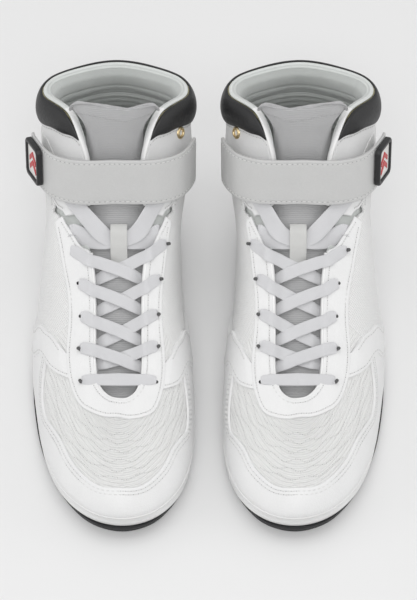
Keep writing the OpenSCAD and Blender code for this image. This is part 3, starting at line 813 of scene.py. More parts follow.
def make_midsole():
    part = Part()
    u = SOLE_U
    base = OUTSOLE_T + 0.1
    edge = outline(u, 1)

    def level(z, grow=1.0):
        e = outline(u, grow)
        return np.column_stack([e, z + spring(e[:, 1])])

    low, mid, lip = level(base + 0.7, 1.0), on(u, 0.1, 2.7), on(u, LIP_V, 2.2)
    curve = [low]
    for f in (0.15, 0.3, 0.45, 0.6, 0.75, 0.9):
        curve.append((1 - f)**2 * low + 2 * f * (1 - f) * mix(mid, mix(low, lip, 0.5), -0.35) + f**2 * lip)
    groove = [mix(curve[1], curve[2], 0.3), mix(curve[1], curve[2], 0.45), mix(curve[1], curve[2], 0.6)]
    groove[1] = groove[1] - np.column_stack([unit(edge - edge.mean(0)), 0 * u]) * 0.5
    inner = on(u, 0, 0.4)
    floor = np.column_stack([inner[:, :2], FLOOR_Z + spring(inner[:, 1])])
    rings = ([level(base, 0.4), level(base + 0.2, 0.85), *curve[:2], *groove, *curve[2:],
              on(u, LIP_V + 0.004, 2.15), on(u, LIP_V + 0.008, 1.8), on(u, LIP_V + 0.008, 0.9),
              on(u, LIP_V, 0.4), on(u, 0.08, 0.4), inner, floor])
    loft(part, np.stack(rings, 1), 0)
    fit(part, "midsole", [SOLE_WHITE], slot="white_rubber", merge=True)


def make_insole():
    part = Part()
    u = SOLE_U[::2]
    low = FLOOR_Z + 1.8

    def level(inset, z):
        p = on(u, 0 * u, -inset)
        return np.column_stack([p[:, :2], z + spring(p[:, 1])])

    rings = [level(6.4, low), level(5.7, low + 0.4), level(5.6, low + 2.2), level(6.2, low + INSOLE_T - 0.4),
             level(8, low + INSOLE_T)]
    loft(part, np.stack(rings, 1), 0)
    for piece in fit(part, "insole", [TEXTILE], slot="textile", merge=True):
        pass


# ---- Upper ----
def creases(amount):
    return lambda p, u, v: amount * ripple(p, 26, 1)


def make_vamp():
    part = Part()

    def top(u):
        return np.minimum(stay_edge(u) + 0.05, 0.9)

    panel(part, -4.56, 4.56, 150, 80, TUCK_V, top, -PANEL_T, -0.06, relief=creases(0.25))
    rows = np.arange(0.235, 0.8, 0.052)
    for k, v in enumerate(rows):
        u = np.linspace(-3.9, 3.9, 900)
        wave = v + 0.011 * np.sin(u * 5.2 + k * 1.9) + 0.02 * np.cos(u * 0.8)
        free = ((wave > cap_top(u) + 0.03) & (wave < stay_edge(u) - 0.03)
                & (abs(u) < stripe_front(wave) - 0.15))
        for run in np.split(np.arange(900), np.flatnonzero(np.diff(free.astype(int))) + 1):
            if free[run[0]] and len(run) > 30:
                path = np.stack([u[run], wave[run]], 1)
                stitch_path(part, path, 0.02, 1, 2, length=1.6, gap=1.5, radius=0.26)
    fit(part, "vamp", [WAVES, THREAD_MAT, NEEDLE_HOLE_SHADE], slot="wave_mesh")


def make_toe_cap():
    part = Part()

    def cut(a, b):
        u = mix(-1, 1, a) * mix(5.9, 4.7, b)
        return u, mix(LIP_V + 0.004, np.minimum(cap_top(u), 0.58), b)

    shell(part, cut, 200, 34, OVERLAY_BASE, OVERLAY_HIGH, (0, 0, 0, 0.35), relief=creases(0.2))
    line = edge_line(-4.3, 4.3, cap_top, 480)
    for inset in (FIRST_ROW, SECOND_ROW):
        sew(part, line, -inset)
    fit(part, "toe_cap", SEWN, slot="white_leather")


def make_quarter(name, sign):
    part = Part()

    def top(u):
        low = stay_edge(u) + 0.05
        high = np.minimum(notch_edge(u) - 0.02, SEAM_V + 0.07)
        return np.where(abs(u) < 5.9, low, np.where(abs(u) < 7.6, high, SEAM_V))

    panel(part, 4.48 * sign, 12.98 * sign, 120, 60, TUCK_V, top, -PANEL_T, 0.04,
          (0, 0, 0, 0.8), relief=creases(0.3))
    sew(part, edge_line(7.7 * sign, 12.4 * sign, SEAM_V), -2.2 * sign, 0.07)
    fit(part, name, [DOTS, THREAD_MAT, NEEDLE_HOLE_SHADE], slot="dot_mesh")


def stripe_front(v):
    return lookup(v, [[0.19, 5.6], [0.42, 4.75], [0.54, 4.4], [0.612, 3.88], [0.678, 3.55],
                      [0.76, 3.2], [0.8, 3.05]])


def stripe_width(v):
    return lookup(v, [[0.19, 1.2], [0.5, 0.75], [0.58, 0.88], [0.682, 0.92], [0.732, 0.78], [0.8, 0.62]])


def make_side_stripes():
    part = Part()
    for sign in (-1, 1):

        def cut(a, b, sign=sign):
            v = mix(0.79, LIP_V + 0.004, a)
            return sign * (stripe_front(v) + stripe_width(v) * b), v

        def lift(u, v):
            return OVERLAY_HIGH + 0.7 - 1.2 * smooth(v, 0.7, 0.77)

        shell(part, cut, 80, 16, OVERLAY_BASE, lift, (0, 0, 0.35, 0.35))
        for side_of, inset in ((0, 2.2), (1, -2.2)):
            a = np.linspace(0.1, 0.97, 200)
            line = np.stack(cut(a, np.full(200, float(side_of))), 1)
            line = sideways(line, inset * sign)
            stitch_path(part, line, lift(line[:, 0], line[:, 1]) + THREAD_LIFT, YARN, PRICK_SHADE)
    fit(part, "side_stripes", SEWN, slot="white_leather")


# Eyelets from the top row down, as (u, v), and where the strands from each row pass over the throat's
# edge on their own side and under the edge on the other one: outer side first, then inner side
EYES = {-1: [(6.2, 0.884), (5.22, 0.908), (4.44, 0.906), (3.72, 0.884), (2.82, 0.864)],
        1: [(6.5, 0.834), (5.48, 0.868), (4.66, 0.866), (4.02, 0.856), (3.18, 0.838)]}
OVER_U = {-1: [5.67, 4.83, 4.12, 3.4], 1: [5.82, 4.93, 4.22, 3.52]}
UNDER_U = {-1: [5.05, 4.31, 3.52, 2.95], 1: [5.11, 4.42, 3.72, 3.05]}
HOLE_R = 1.1


def eyelet_places():
    """The punched holes, just outside the points where the lace dives."""
    for sign in (-1, 1):
        for u, v in EYES[sign]:
            rise = slopes(np.array([sign * u]), np.array([v]))[1]
            yield sign * u, v - 1.3 / np.linalg.norm(rise[0])


def make_eyestay():
    part = Part()

    def inner_edge(u):
        return np.where(abs(u) < 5.9, 0.992, notch_edge(u))

    def bottom(u):
        return stay_edge(u) + 0.002

    panel(part, -7.2, 7.2, 260, 26, bottom, inner_edge, OVERLAY_BASE + 0.05, OVERLAY_HIGH,
          (0.5, 0.5, 0.5, 0.5), relief=lambda p, u, v: 0.2 * ripple(p, 22, 4))
    cutters = Part()
    for u, v in eyelet_places():
        turn = np.linspace(0, 2 * np.pi, 21)[:-1]
        at = np.array([u]), np.array([v])
        n, c = normal(*at)[0], on(*at, 0)[0]
        t = unit(slopes(*at)[1][0])
        b = unit(np.cross(n, t))
        ring = HOLE_R * (np.cos(turn)[:, None] * t + np.sin(turn)[:, None] * b)
        middle = np.stack([c + n * h for h in (5, -1.5)])
        plug = middle[:, None] + ring
        sweep(cutters, plug, middle, plug[..., :2], 0)
        # The wall and bottom of each hole are a dark closed cup: painted shade inside the eyelet
        wall = np.stack([c + n * h + ring * r for h, r in (
            (OVERLAY_HIGH - 0.12, 1.06), (OVERLAY_HIGH - 0.05, 0.99), (0.6, 0.97), (-2.6, 0.95))])
        flat = wall.reshape(-1, 3)
        quads = grid(4, 20, closed_rows=True)
        quads = faces_out(flat, quads, (c - flat)[quads[:, 0]])
        part.add(flat, quads, flat[:, :2], SHADED_HOLLOW)
        base = part.count - 20
        disc = [base + k for k in range(20)]
        part.faces.append(disc if np.dot(np.cross(ring[0], ring[5]), n) > 0 else disc[::-1])
        part.mats.append(SHADED_HOLLOW)
    outer = edge_line(-7.0, 7.0, bottom, 700)
    sew(part, outer, 2.4)
    inner = edge_line(-5.8, 5.8, inner_edge, 600)
    sew(part, inner, -2.6)
    for sign in (-1, 1):
        sew(part, edge_line(sign * 6.25, sign * 7.05, inner_edge, 60), -2.2 * sign)
    pieces = fit(part, "eyestay", SEWN, slot="white_leather")
    return pieces, cutters


def make_heel_foxing():
    part = Part()

    def top(u):
        return lookup(rear(u), [[9.5, 0.24], [11, 0.36], [12.4, 0.42], [13, 0.42]])

    panel(part, 9.5, 16.5, 120, 24, LIP_V + 0.004, top, OVERLAY_BASE, OVERLAY_HIGH,
          (1.2, 1.2, 0, 1.3))
    for inset in (FIRST_ROW, SECOND_ROW):
        sew(part, edge_line(9.7, 16.3, top, 400), -inset)
    fit(part, "heel_foxing", SEWN, slot="white_leather")


def make_back_stay():
    part = Part()
    panel(part, 12.5, 13.5, 20, 60, 0.425, 0.84, OVERLAY_BASE, OVERLAY_HIGH, (1.2, 1.2, 0, 1.2))
    for u, inset in ((12.5, -2.2), (13.5, 2.2)):
        v = np.linspace(0.45, 0.825, 200)
        sew(part, np.stack([0 * v + u, v], 1), inset)
    fit(part, "back_stay", SEWN, slot="white_leather")


def make_cuff(name, sign):
    part = Part()

    def top(u):
        return np.where(abs(u) < 8.3, 0.985, collar_low(u) + 0.008)

    def bottom(u):
        front = np.maximum(SEAM_V + 0.006, notch_edge(np.sign(u) * np.maximum(abs(u), 7.15)) + 0.01)
        return mix(front, SEAM_V - 0.008, smooth(rear(u), 7.5, 7.9))

    def cut(a, b):
        u = mix(7.15 - 0.22 * b + 0.12 * smooth(b, 0.8, 1), 12.95, a)
        return sign * u, mix(bottom(u), top(u), b)

    shell(part, cut, 140, 40, -PANEL_T, 0.25, (1.2, 0, 1.0, 1.2),
          relief=lambda p, u, v: 0.3 * ripple(p, 24, 6))
    for edge, inset in ((bottom, 2.2), (top, -2.2)):
        u0 = 7.35 if edge is bottom else 8.35
        sew(part, edge_line(u0 * sign, 12.7 * sign, edge, 400), inset * sign, 0.28)
    fit(part, name, SEWN, slot="white_leather")


def make_collar():
    part = Part()

    def cut(a, b):
        u = mix(8.45, 17.55, a)
        return u, mix(collar_low(u) + 0.004, 0.993, b)

    shell(part, cut, 150, 36, lambda u, v: COLLAR_OUT * swell(u, v) - 1.3,
          lambda u, v: COLLAR_OUT * swell(u, v), (0.8, 0.8, 1.0, 0.8),
          relief=lambda p, u, v: 0.3 * ripple(p, 17, 2) * swell(u, v))
    for piece in fit(part, "collar_panel", [BLACK], slot="black_leather"):
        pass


def rim_v(u):
    """The lining's upper edge, with a dip between the eyestay and each cuff."""
    return lookup(rear(u), [[5.7, 0.993], [5.95, 0.98], [6.3, 0.95], [6.8, 0.945], [7.05, 0.98],
                            [7.3, 0.993]])


def make_lining():
    part = Part()

    def cut(a, b):
        u = 2 * HEEL_U * a
        return u, mix(0.03, rim_v(u), b)

    def ridges(p, u, v):
        behind = smooth(rear(u), 7.6, 9)
        ribs = 0.35 * np.sin(v * 2 * np.pi / 0.032) * smooth(v, 0.55, 0.66) * (1 - smooth(v, 0.86, 0.9))
        channels = -1.2 * np.exp(-((v - 0.9) / 0.006)**2) - 1.2 * np.exp(-((v - 0.82) / 0.006)**2)
        return -(ribs + channels) * behind

    def reach(u, v):
        return LINING_HIGH - COLLAR_IN * swell(u, v) + 0.8 * smooth(v, 0.96, 0.99)

    shell(part, cut, 520, 170, lambda u, v: reach(u, v) - LINING_T, reach, inner_relief=ridges)
    for u0, u1, look in ((-5.85, 5.85, 1), (7.1, 9.2, 1), (9.2, 16.8, 0), (16.8, 18.9, 1)):
        u = np.linspace(u0, u1, 200)
        behind = smooth(rear(u), 8.4, 9.2)
        centre = on(u, 0.994, mix(-0.95, -2.6, behind))
        n = normal(u, np.full(200, 0.994))
        out = unit(np.cross(n, unit(np.gradient(centre, axis=0))))
        tube(part, centre, out, n, mix(1.1, 0.8, behind), mix(2.0, 2.3, behind), look, 14, power=0.8)
    fit(part, "lining", [LINING, PIPING], slot="lining_textile", merge=True)


# ---- Tongue: rows of [y, z, half width, wing, thickness] up its front face ----
TONGUE = [[-91, 48.5, 14, 0, 3.4], [-76, 52.5, 20, 0, 4], [-58, 61, 25, 0, 4], [-36, 74, 25, 0, 4],
          [-12, 90, 26, 0, 4], [6, 104, 27.5, 0, 4], [20, 115.5, 26.5, 1, 4.6], [25, 118.7, 23, 3, 5.4],
          [33, 128.5, 19, 3.5, 6], [40, 141, 18.5, 5, 6], [46.5, 154.5, 18.5, 8, 6],
          [51.5, 167, 19.5, 8.5, 6], [56, 178.5, 27, 7.6, 6], [61, 187, 30.5, 8, 5.4]]
TONGUE_SHIFT = 2.5


def tongue_surface(t, s, inward):
    """Points of the tongue: t from 0 at the toe to 1 at the top, s across, inward from 0 to 1."""
    table = np.array(TONGUE, float)
    line = catmull(table, 16)
    run = lengths(line[:, :2])

    def row(step, k):
        return np.interp(np.clip(t + step, 0, 1) * run[-1], run, line[:, k])

    at = np.clip(t, 0, 1) * run[-1]
    y, z, half, wing, thick = (row(0, k) for k in range(5))
    dy, dz = (row(0.004, k) - row(-0.004, k) for k in (0, 1))
    d = np.hypot(dy, dz)
    dy, dz = dy / d, dz / d
    x = half * s
    crown = mix(90, 110, smooth(y, 15, 30))
    soft = 1 - (1 - np.abs(s)**5)**0.5
    ends = np.clip(1 - np.minimum(t, 1 - t) * run[-1] / (thick / 2), 0, 1)
    soft = np.maximum(soft, 1 - np.sqrt(1 - ends**2))
    body = thick * (1 - 0.3 * s * s)
    puff = 0.7 * np.cos(s * np.pi / 2) * smooth(t, 0.6, 0.85)
    depth = np.where(inward > 0.5, body - soft * thick / 2 * 0.9, soft * thick / 2 * 0.9 - puff)
    drop = depth + x * x / crown + wing * np.abs(s)**4
    shift = TONGUE_SHIFT * np.clip((40 - y) / 40, 0, 1)
    return np.stack([shift + x, y + dz * drop, z - dy * drop], -1), half, at


def make_tongue():
    part = Part()
    t = np.concatenate([[0, 0.001, 0.004, 0.009], np.linspace(0.016, 0.984, 190), [0.991, 0.996, 0.999, 1]])
    s = np.sin(np.linspace(-1, 1, 61) * np.pi / 2)
    s = mix(s, np.linspace(-1, 1, 61), 0.4)
    tt, ss = np.meshgrid(t, s, indexing="ij")
    notch = 0.018 * np.clip(1 - abs(ss - 0.3) / 0.75, 0, 1)**1.3 + 0.035 * np.abs(ss)**8
    tt = tt * (1 - notch * smooth(tt, 0.7, 1.0))
    front, half, at = tongue_surface(tt, ss, 0.0)
    back = tongue_surface(tt, ss, 1.0)[0]
    front = front + (0.35 * ripple(front, 30, 3) * np.cos(ss * np.pi / 2) ** 0.5)[..., None] * [0, -0.8, 0.6]
    sheet(part, front, back, np.stack([half * ss, at], -1))
    top = mix(front[-1], back[-1], 0.5)
    side = unit(np.gradient(top, axis=0))
    up = unit(front[-1] - front[-6])
    facing = unit(np.cross(side, up))
    tube(part, top - up * 0.9, facing, up, 2.7, 1.1, 0, 12)
    line = front[-9, 2:-2]
    face = unit(np.cross(np.gradient(line, axis=0), front[-8, 2:-2] - front[-10, 2:-2]))
    face = np.where((face[:, 1] > 0)[:, None], -face, face)
    stitches(part, line + face * 0.05, face, 0, 1)
    for piece, side in zip(fit(part, "tongue", [SATIN, NEEDLE_HOLE_SHADE], None,
                               ["lower_tongue", "upper_tongue"], "tongue_satin"), ("right", "left")):
        lower, upper = place([[0, 12, 108]], side)[0], place([[0, 33, 129]], side)[0]
        tuple(lower)
        tuple(upper)
        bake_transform(piece)


# ---- Lace ----
OVER = OVERLAY_HIGH + LACE_T / 2 + 0.2
UNDER = LINING_HIGH - LINING_T - LACE_T / 2 - 0.3
# How far the upper and the lower strand of a crossing rise in the middle
TOP_H, LOW_H = 1.0, -1.2


def spot(u, v, h):
    return on(np.array([u]), np.array([v]), h)[0]


def hole(sign, row, h):
    u, v = EYES[sign][row]
    return spot(sign * u, v, h)


def throat(sign, u, h):
    return spot(sign * u, 0.985, h)


def up_by(p, z):
    return p + np.array([0, 0, z])


def crossing(sign, row):
    """Down through one hole, under that edge, across and over to the next hole on the far side."""
    near, far = UNDER_U[sign][row - 1], OVER_U[-sign][row - 1]
    a, b = throat(sign, near, -2.5), throat(-sign, far, 0.6)
    lift = TOP_H if sign > 0 else LOW_H
    edge, end = throat(-sign, far, OVER + 0.2), hole(-sign, row - 1, OVER)
    return [(hole(sign, row, OVER), 5), (hole(sign, row, OVER - 1.6), 4.5), (hole(sign, row, UNDER), 4.5),
            (throat(sign, near, UNDER), 7), (up_by(mix(a, b, 0.22), lift * 0.5), LACE_W),
            (up_by(mix(a, b, 0.4), lift), LACE_W), (up_by(mix(a, b, 0.6), lift), LACE_W),
            (up_by(mix(a, b, 0.82), lift * 0.5), LACE_W), (edge, LACE_W),
            (mix(edge, end, 0.45), LACE_W), (mix(edge, end, 0.85), 7.6)]


def finish(sign):
    """Out at the notch, through the lace loop and up to the opposite cuff."""
    k = TONGUE_SHIFT
    return [(hole(sign, 0, OVER), 5), (hole(sign, 0, OVER - 1.6), 4.5), (hole(sign, 0, UNDER), 4.5),
            (spot(sign * 6.7, 0.885, -0.55), 9), (np.array([k + 20.5 * sign, 13.2, 108]), 11.5),
            (np.array([k + 10 * sign, 9.6, 109.8]), 10), (np.array([k, 9, 111.1 - 0.7 * sign]), LACE_W),
            (np.array([k - 7 * sign, 10.6, 112.4 - 0.5 * sign]), 10),
            (np.array([k - 14 * sign, 15.4, 115.4]), 11.5),
            (spot(-sign * 7.15, 0.94, 1.6), 10.5), (spot(-sign * 7.6, 0.875, 1.5), 6.5),
            (spot(-sign * 7.85, 0.88, 1.5), 6)]


def half_lace(sign):
    left, right = hole(-1, 4, OVER), hole(1, 4, OVER)
    return ([(up_by(mix(left, right, 0.5 + sign * 0.02), 0.5), LACE_W),
             (up_by(mix(left, right, 0.5 + sign * 0.4), 0.2), 7)]
            + crossing(sign, 4) + crossing(-sign, 3) + crossing(sign, 2) + crossing(-sign, 1) + finish(sign))


def ribbon(part, path, widths, across, thick, ribs=3, sides=30):
    """A flat woven band with rounded edges and shallow lengthwise ribs."""
    t = unit(np.gradient(path, axis=0))
    n = unit(np.cross(t, across))
    w = unit(np.cross(n, t))
    turn = np.linspace(0, 2 * np.pi, sides, endpoint=False)
    x = np.sign(np.cos(turn)) * np.abs(np.cos(turn))**0.75
    h = np.sign(np.sin(turn)) * (1 - np.abs(x)**4)**0.5 * (1 - 0.2 * np.cos(x * np.pi * ribs)**2)
    ring = (path[:, None] + w[:, None] * (widths / 2)[:, None, None] * x[None, :, None]
            + n[:, None] * (thick / 2) * h[None, :, None])
    run = lengths(path)
    uv = np.stack([run[:, None] + 0 * x[None], (widths / 2)[:, None] * x[None] + 0 * run[:, None]], -1)
    sweep(part, ring, path, uv, 0)


def lengthwise(path):
    slope = np.radians(np.interp(path[:, 1], [-80, -40, 0, 30], [28, 33, 38, 45]))
    return np.stack([0 * slope, np.cos(slope), np.sin(slope)], 1)


def make_lace():
    part = Part()
    route = half_lace(-1)[::-1] + half_lace(1)
    line = catmull([[*p, w] for p, w in route], 12)
    line = resample(line, spacing=0.9)
    path, widths = line[:, :3], line[:, 3]
    ribbon(part, path, widths, lengthwise(path), LACE_T)
    fit(part, "lace", [COTTON], slot="lace_cotton")


def make_lace_loop():
    part = Part()
    line = [[-3.2, 97.9], [0.6, 101], [2.6, 105.6], [5.2, 111.2], [9, 115.4], [13.2, 118.4], [17.2, 118.4],
            [18.6, 115.6]]
    path = resample(catmull([[TONGUE_SHIFT, y, z] for y, z in line], 10), spacing=0.5)
    ribbon(part, path, np.full(len(path), 11.0), np.tile([1.0, 0, 0], (len(path), 1)), 1, ribs=5, sides=36)
    fit(part, "lace_loop", [WEBBING], slot="webbing")


# ---- Ankle strap, drawn in a frame that leans back with the shin ----
STRAP_FOOT = np.array([0, 26.4, 127.7])
INNER_PLAN = [[-14, 0.6], [0, 0], [16, -0.4], [30, 1.2], [41.8, 8.4], [48, 18], [51.5, 28], [53.3, 38],
              [53.8, 52], [53.8, 66]]
OUTER_PLAN = [[-16, -0.4], [0, 0], [15, -1], [28, 0.7], [39.5, 7.2], [47, 17.5], [51.8, 28.5],
              [55.6, 39.5], [56.2, 50], [56.2, 61]]
LEAN = math.radians(STRAP_LEAN)
AXIS = np.array([0, math.sin(LEAN), math.cos(LEAN)])
BACK = np.array([0, math.cos(LEAN), -math.sin(LEAN)])


def plan_at(a, outer):
    i = np.clip(np.floor(a).astype(int), 0, 6)
    inner_p, outer_p = (spline(q[i], q[i + 1], q[i + 2], q[i + 3], (a - i)[:, None])
                        for q in (np.array(INNER_PLAN), np.array(OUTER_PLAN)))
    return np.where(outer[:, None], outer_p, inner_p)


def strap_point(s, inward, height):
    """A point of the strap: s from 0 at the front to 7 at the end, negative on the outer side."""
    s, inward, height = np.broadcast_arrays(*(np.asarray(q, float) for q in (s, inward, height)))
    shape = s.shape
    s, inward, height = s.ravel(), inward.ravel(), height.ravel()
    a = np.abs(s)
    outer = s < 0
    p = plan_at(a, outer)
    d = unit(plan_at(np.minimum(a + 0.02, 7), outer) - plan_at(np.maximum(a - 0.02, 0), outer))
    q = p + inward[:, None] * np.stack([-d[:, 1], d[:, 0]], 1)
    q[:, 0] *= np.where(s < 0, -1, 1)
    out = STRAP_FOOT + q[:, :1] * [1, 0, 0] + q[:, 1:] * BACK + height[:, None] * AXIS
    return out.reshape(shape + (3,))


def make_strap_half(name, s0, s1, nodes):
    """One half of the strap, from its end to the middle of the front."""
    part = Part()
    s = np.linspace(s0, s1, 150)
    turn = np.linspace(0, 2 * np.pi, 72, endpoint=False)
    cosine, sine = np.cos(turn), np.sin(turn)
    height = STRAP_W / 2 * (1 + np.sign(cosine) * np.abs(cosine)**0.28)
    depth = STRAP_T / 2 * (1 - np.sign(sine) * np.abs(sine)**0.32)
    ss, hh = s[:, None] + 0 * turn[None], height[None] + 0 * s[:, None]
    dd = depth[None] + 0 * s[:, None]
    probe = strap_point(ss, dd, hh)
    front = smooth(-dd, -STRAP_T * 0.6, -STRAP_T * 0.1)
    edge = np.minimum(hh, STRAP_W - hh)
    fold = -0.22 * np.exp(-((edge - 2.3) / 0.55)**2) * front
    soft = 0.35 * ripple(probe, 34, 5) * front
    dd = dd - soft - fold
    ring = strap_point(ss, dd, hh)
    run = lengths(strap_point(s, 0, STRAP_W / 2))
    uv = np.stack([run[:, None] + 0 * hh, hh], -1)
    sweep(part, ring, strap_point(s, STRAP_T / 2, STRAP_W / 2), uv, LEATHER)
    inset = 0.03 if abs(s0) > abs(s1) else -0.03
    row_s = np.linspace(s0 + inset * math.copysign(1, s1 - s0), s1, 300)
    row_s = row_s[np.abs(row_s) < max(abs(s0), abs(s1)) - 0.05]
    outward = unit(strap_point(row_s, -1.0, STRAP_W / 2) - strap_point(row_s, 0, STRAP_W / 2))
    for h in (FIRST_ROW, STRAP_W - FIRST_ROW):
        base_line = strap_point(row_s, 0.0, h)
        relief = 0.35 * ripple(base_line, 34, 5) - 0.2
        stitches(part, base_line + outward * (relief[:, None] + 0.02), outward, YARN, PRICK_SHADE)
    return fit(part, name, [SHADED_STRAP, THREAD_MAT, NEEDLE_HOLE_SHADE], None, nodes, "strap_leather")


def make_strap():
    inner = make_strap_half("strap_inner", 5.6, 0, ["strap_base", "strap_front"])
    outer = make_strap_half("strap_outer", 0, -6.15, ["strap_tab"])
    for pieces, a, b, sign in ((inner, "boot", "strap_front", 1), (outer, "strap_front", "strap_tab", -1)):
        for piece, side in zip(pieces, ("right", "left")):
            ends = strap_point(np.array([3.7, 2.6]) * sign, 0.0, 16)
            if sign < 0:
                ends = ends[::-1]
            start, end = place(ends, side)
            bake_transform(piece)


def rounded_loop(w, h, r, count=14):
    """Points round a rectangle with round corners."""
    points = []
    for k, (sx, sy) in enumerate(((1, 1), (-1, 1), (-1, -1), (1, -1))):
        a = np.linspace(k, k + 1, count) * np.pi / 2
        points.append(np.stack([sx * (w / 2 - r) + r * np.cos(a), sy * (h / 2 - r) + r * np.sin(a)], 1))
    return np.vstack(points)


def make_badge():
    """A black frame with a recessed white panel and a plain red chevron."""
    part = Part()
    seat, ahead = strap_point([-5.0, -4.5], -0.45, 17.5)
    right = unit(ahead - seat)
    face = unit(np.cross(AXIS, right))
    if face @ (strap_point(-5, -1.0, 16) - strap_point(-5, 0.0, 16)) < 0:
        face = -face

    def put(flat, lift):
        return seat + flat[:, :1] * right + flat[:, 1:] * AXIS + np.asarray(lift).reshape(-1, 1) * face

    levels = [(25, 27, 4, 0), (25, 27, 4, 2.5), (24.6, 26.6, 3.8, 3.1), (23.6, 25.6, 3.4, 3.55),
              (22.6, 24.6, 3.1, 3.6), (20.6, 22.6, 2.6, 3.6), (19.8, 21.8, 2.4, 3.4), (19.2, 21.2, 2.2, 2.9),
              (18.8, 20.8, 2.1, 2.3)]
    rings = np.stack([put(rounded_loop(w, h, r), np.full(56, z)) for w, h, r, z in levels])
    flat = rings.reshape(-1, 3)
    quads = grid(len(levels), 56, closed_rows=True)
    axis_line = seat + face[None] * 1.5
    outside = quads[:, :1] < 56 * 5
    quads = faces_out(flat, quads, outside * (flat - axis_line)[quads[:, 0]])
    part.add(flat, quads, flat[:, :2], 0)
    base = (len(levels) - 1) * 56
    part.faces.extend([list(range(56))[::-1], list(range(base, base + 56))])
    part.mats.extend([0, 1])
    if np.cross(rings[0, 0] - seat, rings[0, 8] - seat) @ face < 0:
        part.faces[-1].reverse()
        part.faces[-2].reverse()
    for tip in (3.6, -2.6):
        shape = np.array([[-6, tip - 5], [0, tip], [6, tip - 5], [6, tip - 1.5], [0, tip + 3.5],
                          [-6, tip - 1.5]])
        verts = np.vstack([put(shape, np.full(6, 2.3)), put(shape, np.full(6, 2.75))])
        walls = np.array([[k, (k + 1) % 6, 6 + (k + 1) % 6, 6 + k] for k in range(6)])
        walls = faces_out(verts, walls, (verts - verts.mean(0))[walls[:, 0]])
        part.add(verts, walls, verts[:, :2], 2)
        caps = np.array([[6, 7, 10, 11], [7, 8, 9, 10]])
        caps = faces_out(verts, caps, np.tile(face, (2, 1)))
        part.faces.extend((caps + part.count - 12).tolist())
        part.mats.extend([2, 2])
    fit(part, "badge", [BADGE_RUBBER, BADGE_PANEL, BADGE_RED], "strap_tab", slot="badge_rubber", sharp=40)


def make_eyelet_ring():
    """A rolled brass ring, turned from its section."""
    part = Part()
    u, v = 9.35, 0.885
    seat = spot(u, v, 0.1)
    aim = unit(spot(u, v, 1.0) - seat)
    a = unit(np.cross(aim, [0, 0, 1.0]))
    b = np.cross(aim, a)
    section = [[2.0, -0.9], [2.05, 0.6], [2.3, 1.15], [2.8, 1.4], [3.4, 1.2], [3.8, 0.8], [4.15, 0.45],
               [4.2, 0.1], [3.0, 0.0], [2.6, -0.9]]
    turn = np.linspace(0, 2 * np.pi, 48, endpoint=False)
    ring = np.stack([[seat + aim * h + (a * math.cos(t) + b * math.sin(t)) * r for r, h in section]
                     for t in turn])
    middle = seat + unit(ring.mean(1) - seat) * 3.0 + aim * 0.4
    sweep(part, ring, middle, ring[..., :2], 0, closed=True)
    fit(part, "eyelet_ring", [BRASS], slot="brass")


def finish_cad_nodes():
    """The hidden pieces keep their CAD shape and get their own material."""
    kept = {"insole_board": BOARD, "toe_puff": STIFFENER, "heel_counter": STIFFENER, "collar_foam": FOAM,
            "hook_patch": HOOK, "loop_patch": LOOP}
    for side in ("right", "left"):
        for name, look in kept.items():
            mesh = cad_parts[f"{side}_{name}"].data
            points = np.zeros(len(mesh.vertices) * 3)
            mesh.vertices.foreach_get("co", points)
            x, y, z = points.reshape(-1, 3).T * 1000
            lay_cloth(mesh, np.stack([y, z + x], 1))
            mesh.materials.clear()
            mesh.materials.append(look)


def punch(pieces, cutters):
    """Cuts the eyelets through the eyestays."""
    for piece, side in zip(pieces, ("right", "left")):
        tool = build(cutters, "eyelet_cutter", side, [EYELET_SHADE])
        change = piece.modifiers.new("holes", "BOOLEAN")
        change.object, change.operation, change.solver = tool, "DIFFERENCE", "EXACT"
        graph = bpy.context.evaluated_depsgraph_get()
        mesh = bpy.data.meshes.new_from_object(piece.evaluated_get(graph))
        piece.modifiers.clear()
        piece.data = mesh
        bpy.data.objects.remove(tool)


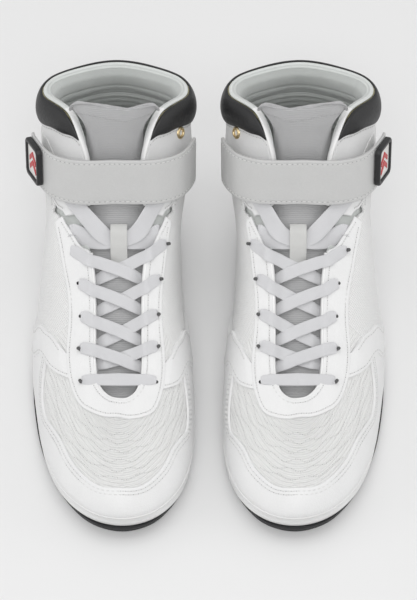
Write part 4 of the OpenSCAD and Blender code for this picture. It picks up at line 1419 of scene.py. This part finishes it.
# ---- Studio ----
def make_studio():
    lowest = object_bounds()[0]
    bm = bmesh.new()
    bmesh.ops.create_grid(bm, x_segments=8, y_segments=8, size=4)
    mesh = bpy.data.meshes.new("studio_floor")
    bm.to_mesh(mesh)
    bm.free()
    mesh.uv_layers.new(name="cloth")
    mesh.materials.append(FLOOR)
    floor = bpy.data.objects.new("studio_floor", mesh)
    floor.location.z = lowest.z - 0.0002
    bpy.context.scene.collection.objects.link(floor)
    lights = [("overhead", (0.0, 0.1, 2.4), (1.2, 1.2), 9, (0, 0.0, 0)),
              ("front_key", (0.0, -1.5, 2.15), (0.9, 0.7), 16, (0, 0, 0.05)),
              ("left_fill", (-2.2, -0.3, 1.2), (1.6, 1.6), 8, (0, 0, 0.05)),
              ("right_fill", (2.2, 0.0, 1.2), (1.6, 1.6), 7, (0, 0, 0.05))]
    for name, where, size, power, aim in lights:
        data = bpy.data.lights.new(name, "AREA")
        data.shape = "RECTANGLE"
        data.size, data.size_y = size
        data.energy = power
        lamp = bpy.data.objects.new(name, data)
        lamp.location = where
        direction = Vector(aim) - Vector(where)
        lamp.rotation_euler = direction.to_track_quat("-Z", "Y").to_euler()
        bpy.context.scene.collection.objects.link(lamp)
    world = bpy.data.worlds.new("studio")
    world.use_nodes = True
    background = world.node_tree.nodes["Background"]
    background.inputs["Color"].default_value = (1, 1, 1, 1)
    background.inputs["Strength"].default_value = 0.62
    bpy.context.scene.world = world
    view = bpy.context.scene.view_settings
    view.view_transform = "Standard"
    view.look = "None"


CAMERA_AT, CAMERA_DOWN, LENS = (0, -1.064, 1.532), 54.2, 163.5


def make_camera():
    data = bpy.data.cameras.new("camera")
    data.lens = LENS
    data.sensor_width = 36
    data.clip_start, data.clip_end = 0.05, 20
    camera = bpy.data.objects.new("camera", data)
    camera.location = CAMERA_AT
    camera.rotation_euler = (math.radians(90 - CAMERA_DOWN), 0, 0)
    bpy.context.scene.collection.objects.link(camera)
    bpy.context.scene.camera = camera


make_camera()
make_outsole()
make_midsole()
make_insole()
make_vamp()
make_toe_cap()
make_quarter("lateral_quarter", -1)
make_quarter("medial_quarter", 1)
make_side_stripes()
punch(*make_eyestay())
make_heel_foxing()
make_back_stay()
make_cuff("lateral_cuff", -1)
make_cuff("medial_cuff", 1)
make_collar()
make_lining()
make_tongue()
make_lace_loop()
make_lace()
make_strap()
make_badge()
make_eyelet_ring()
finish_cad_nodes()
make_studio()
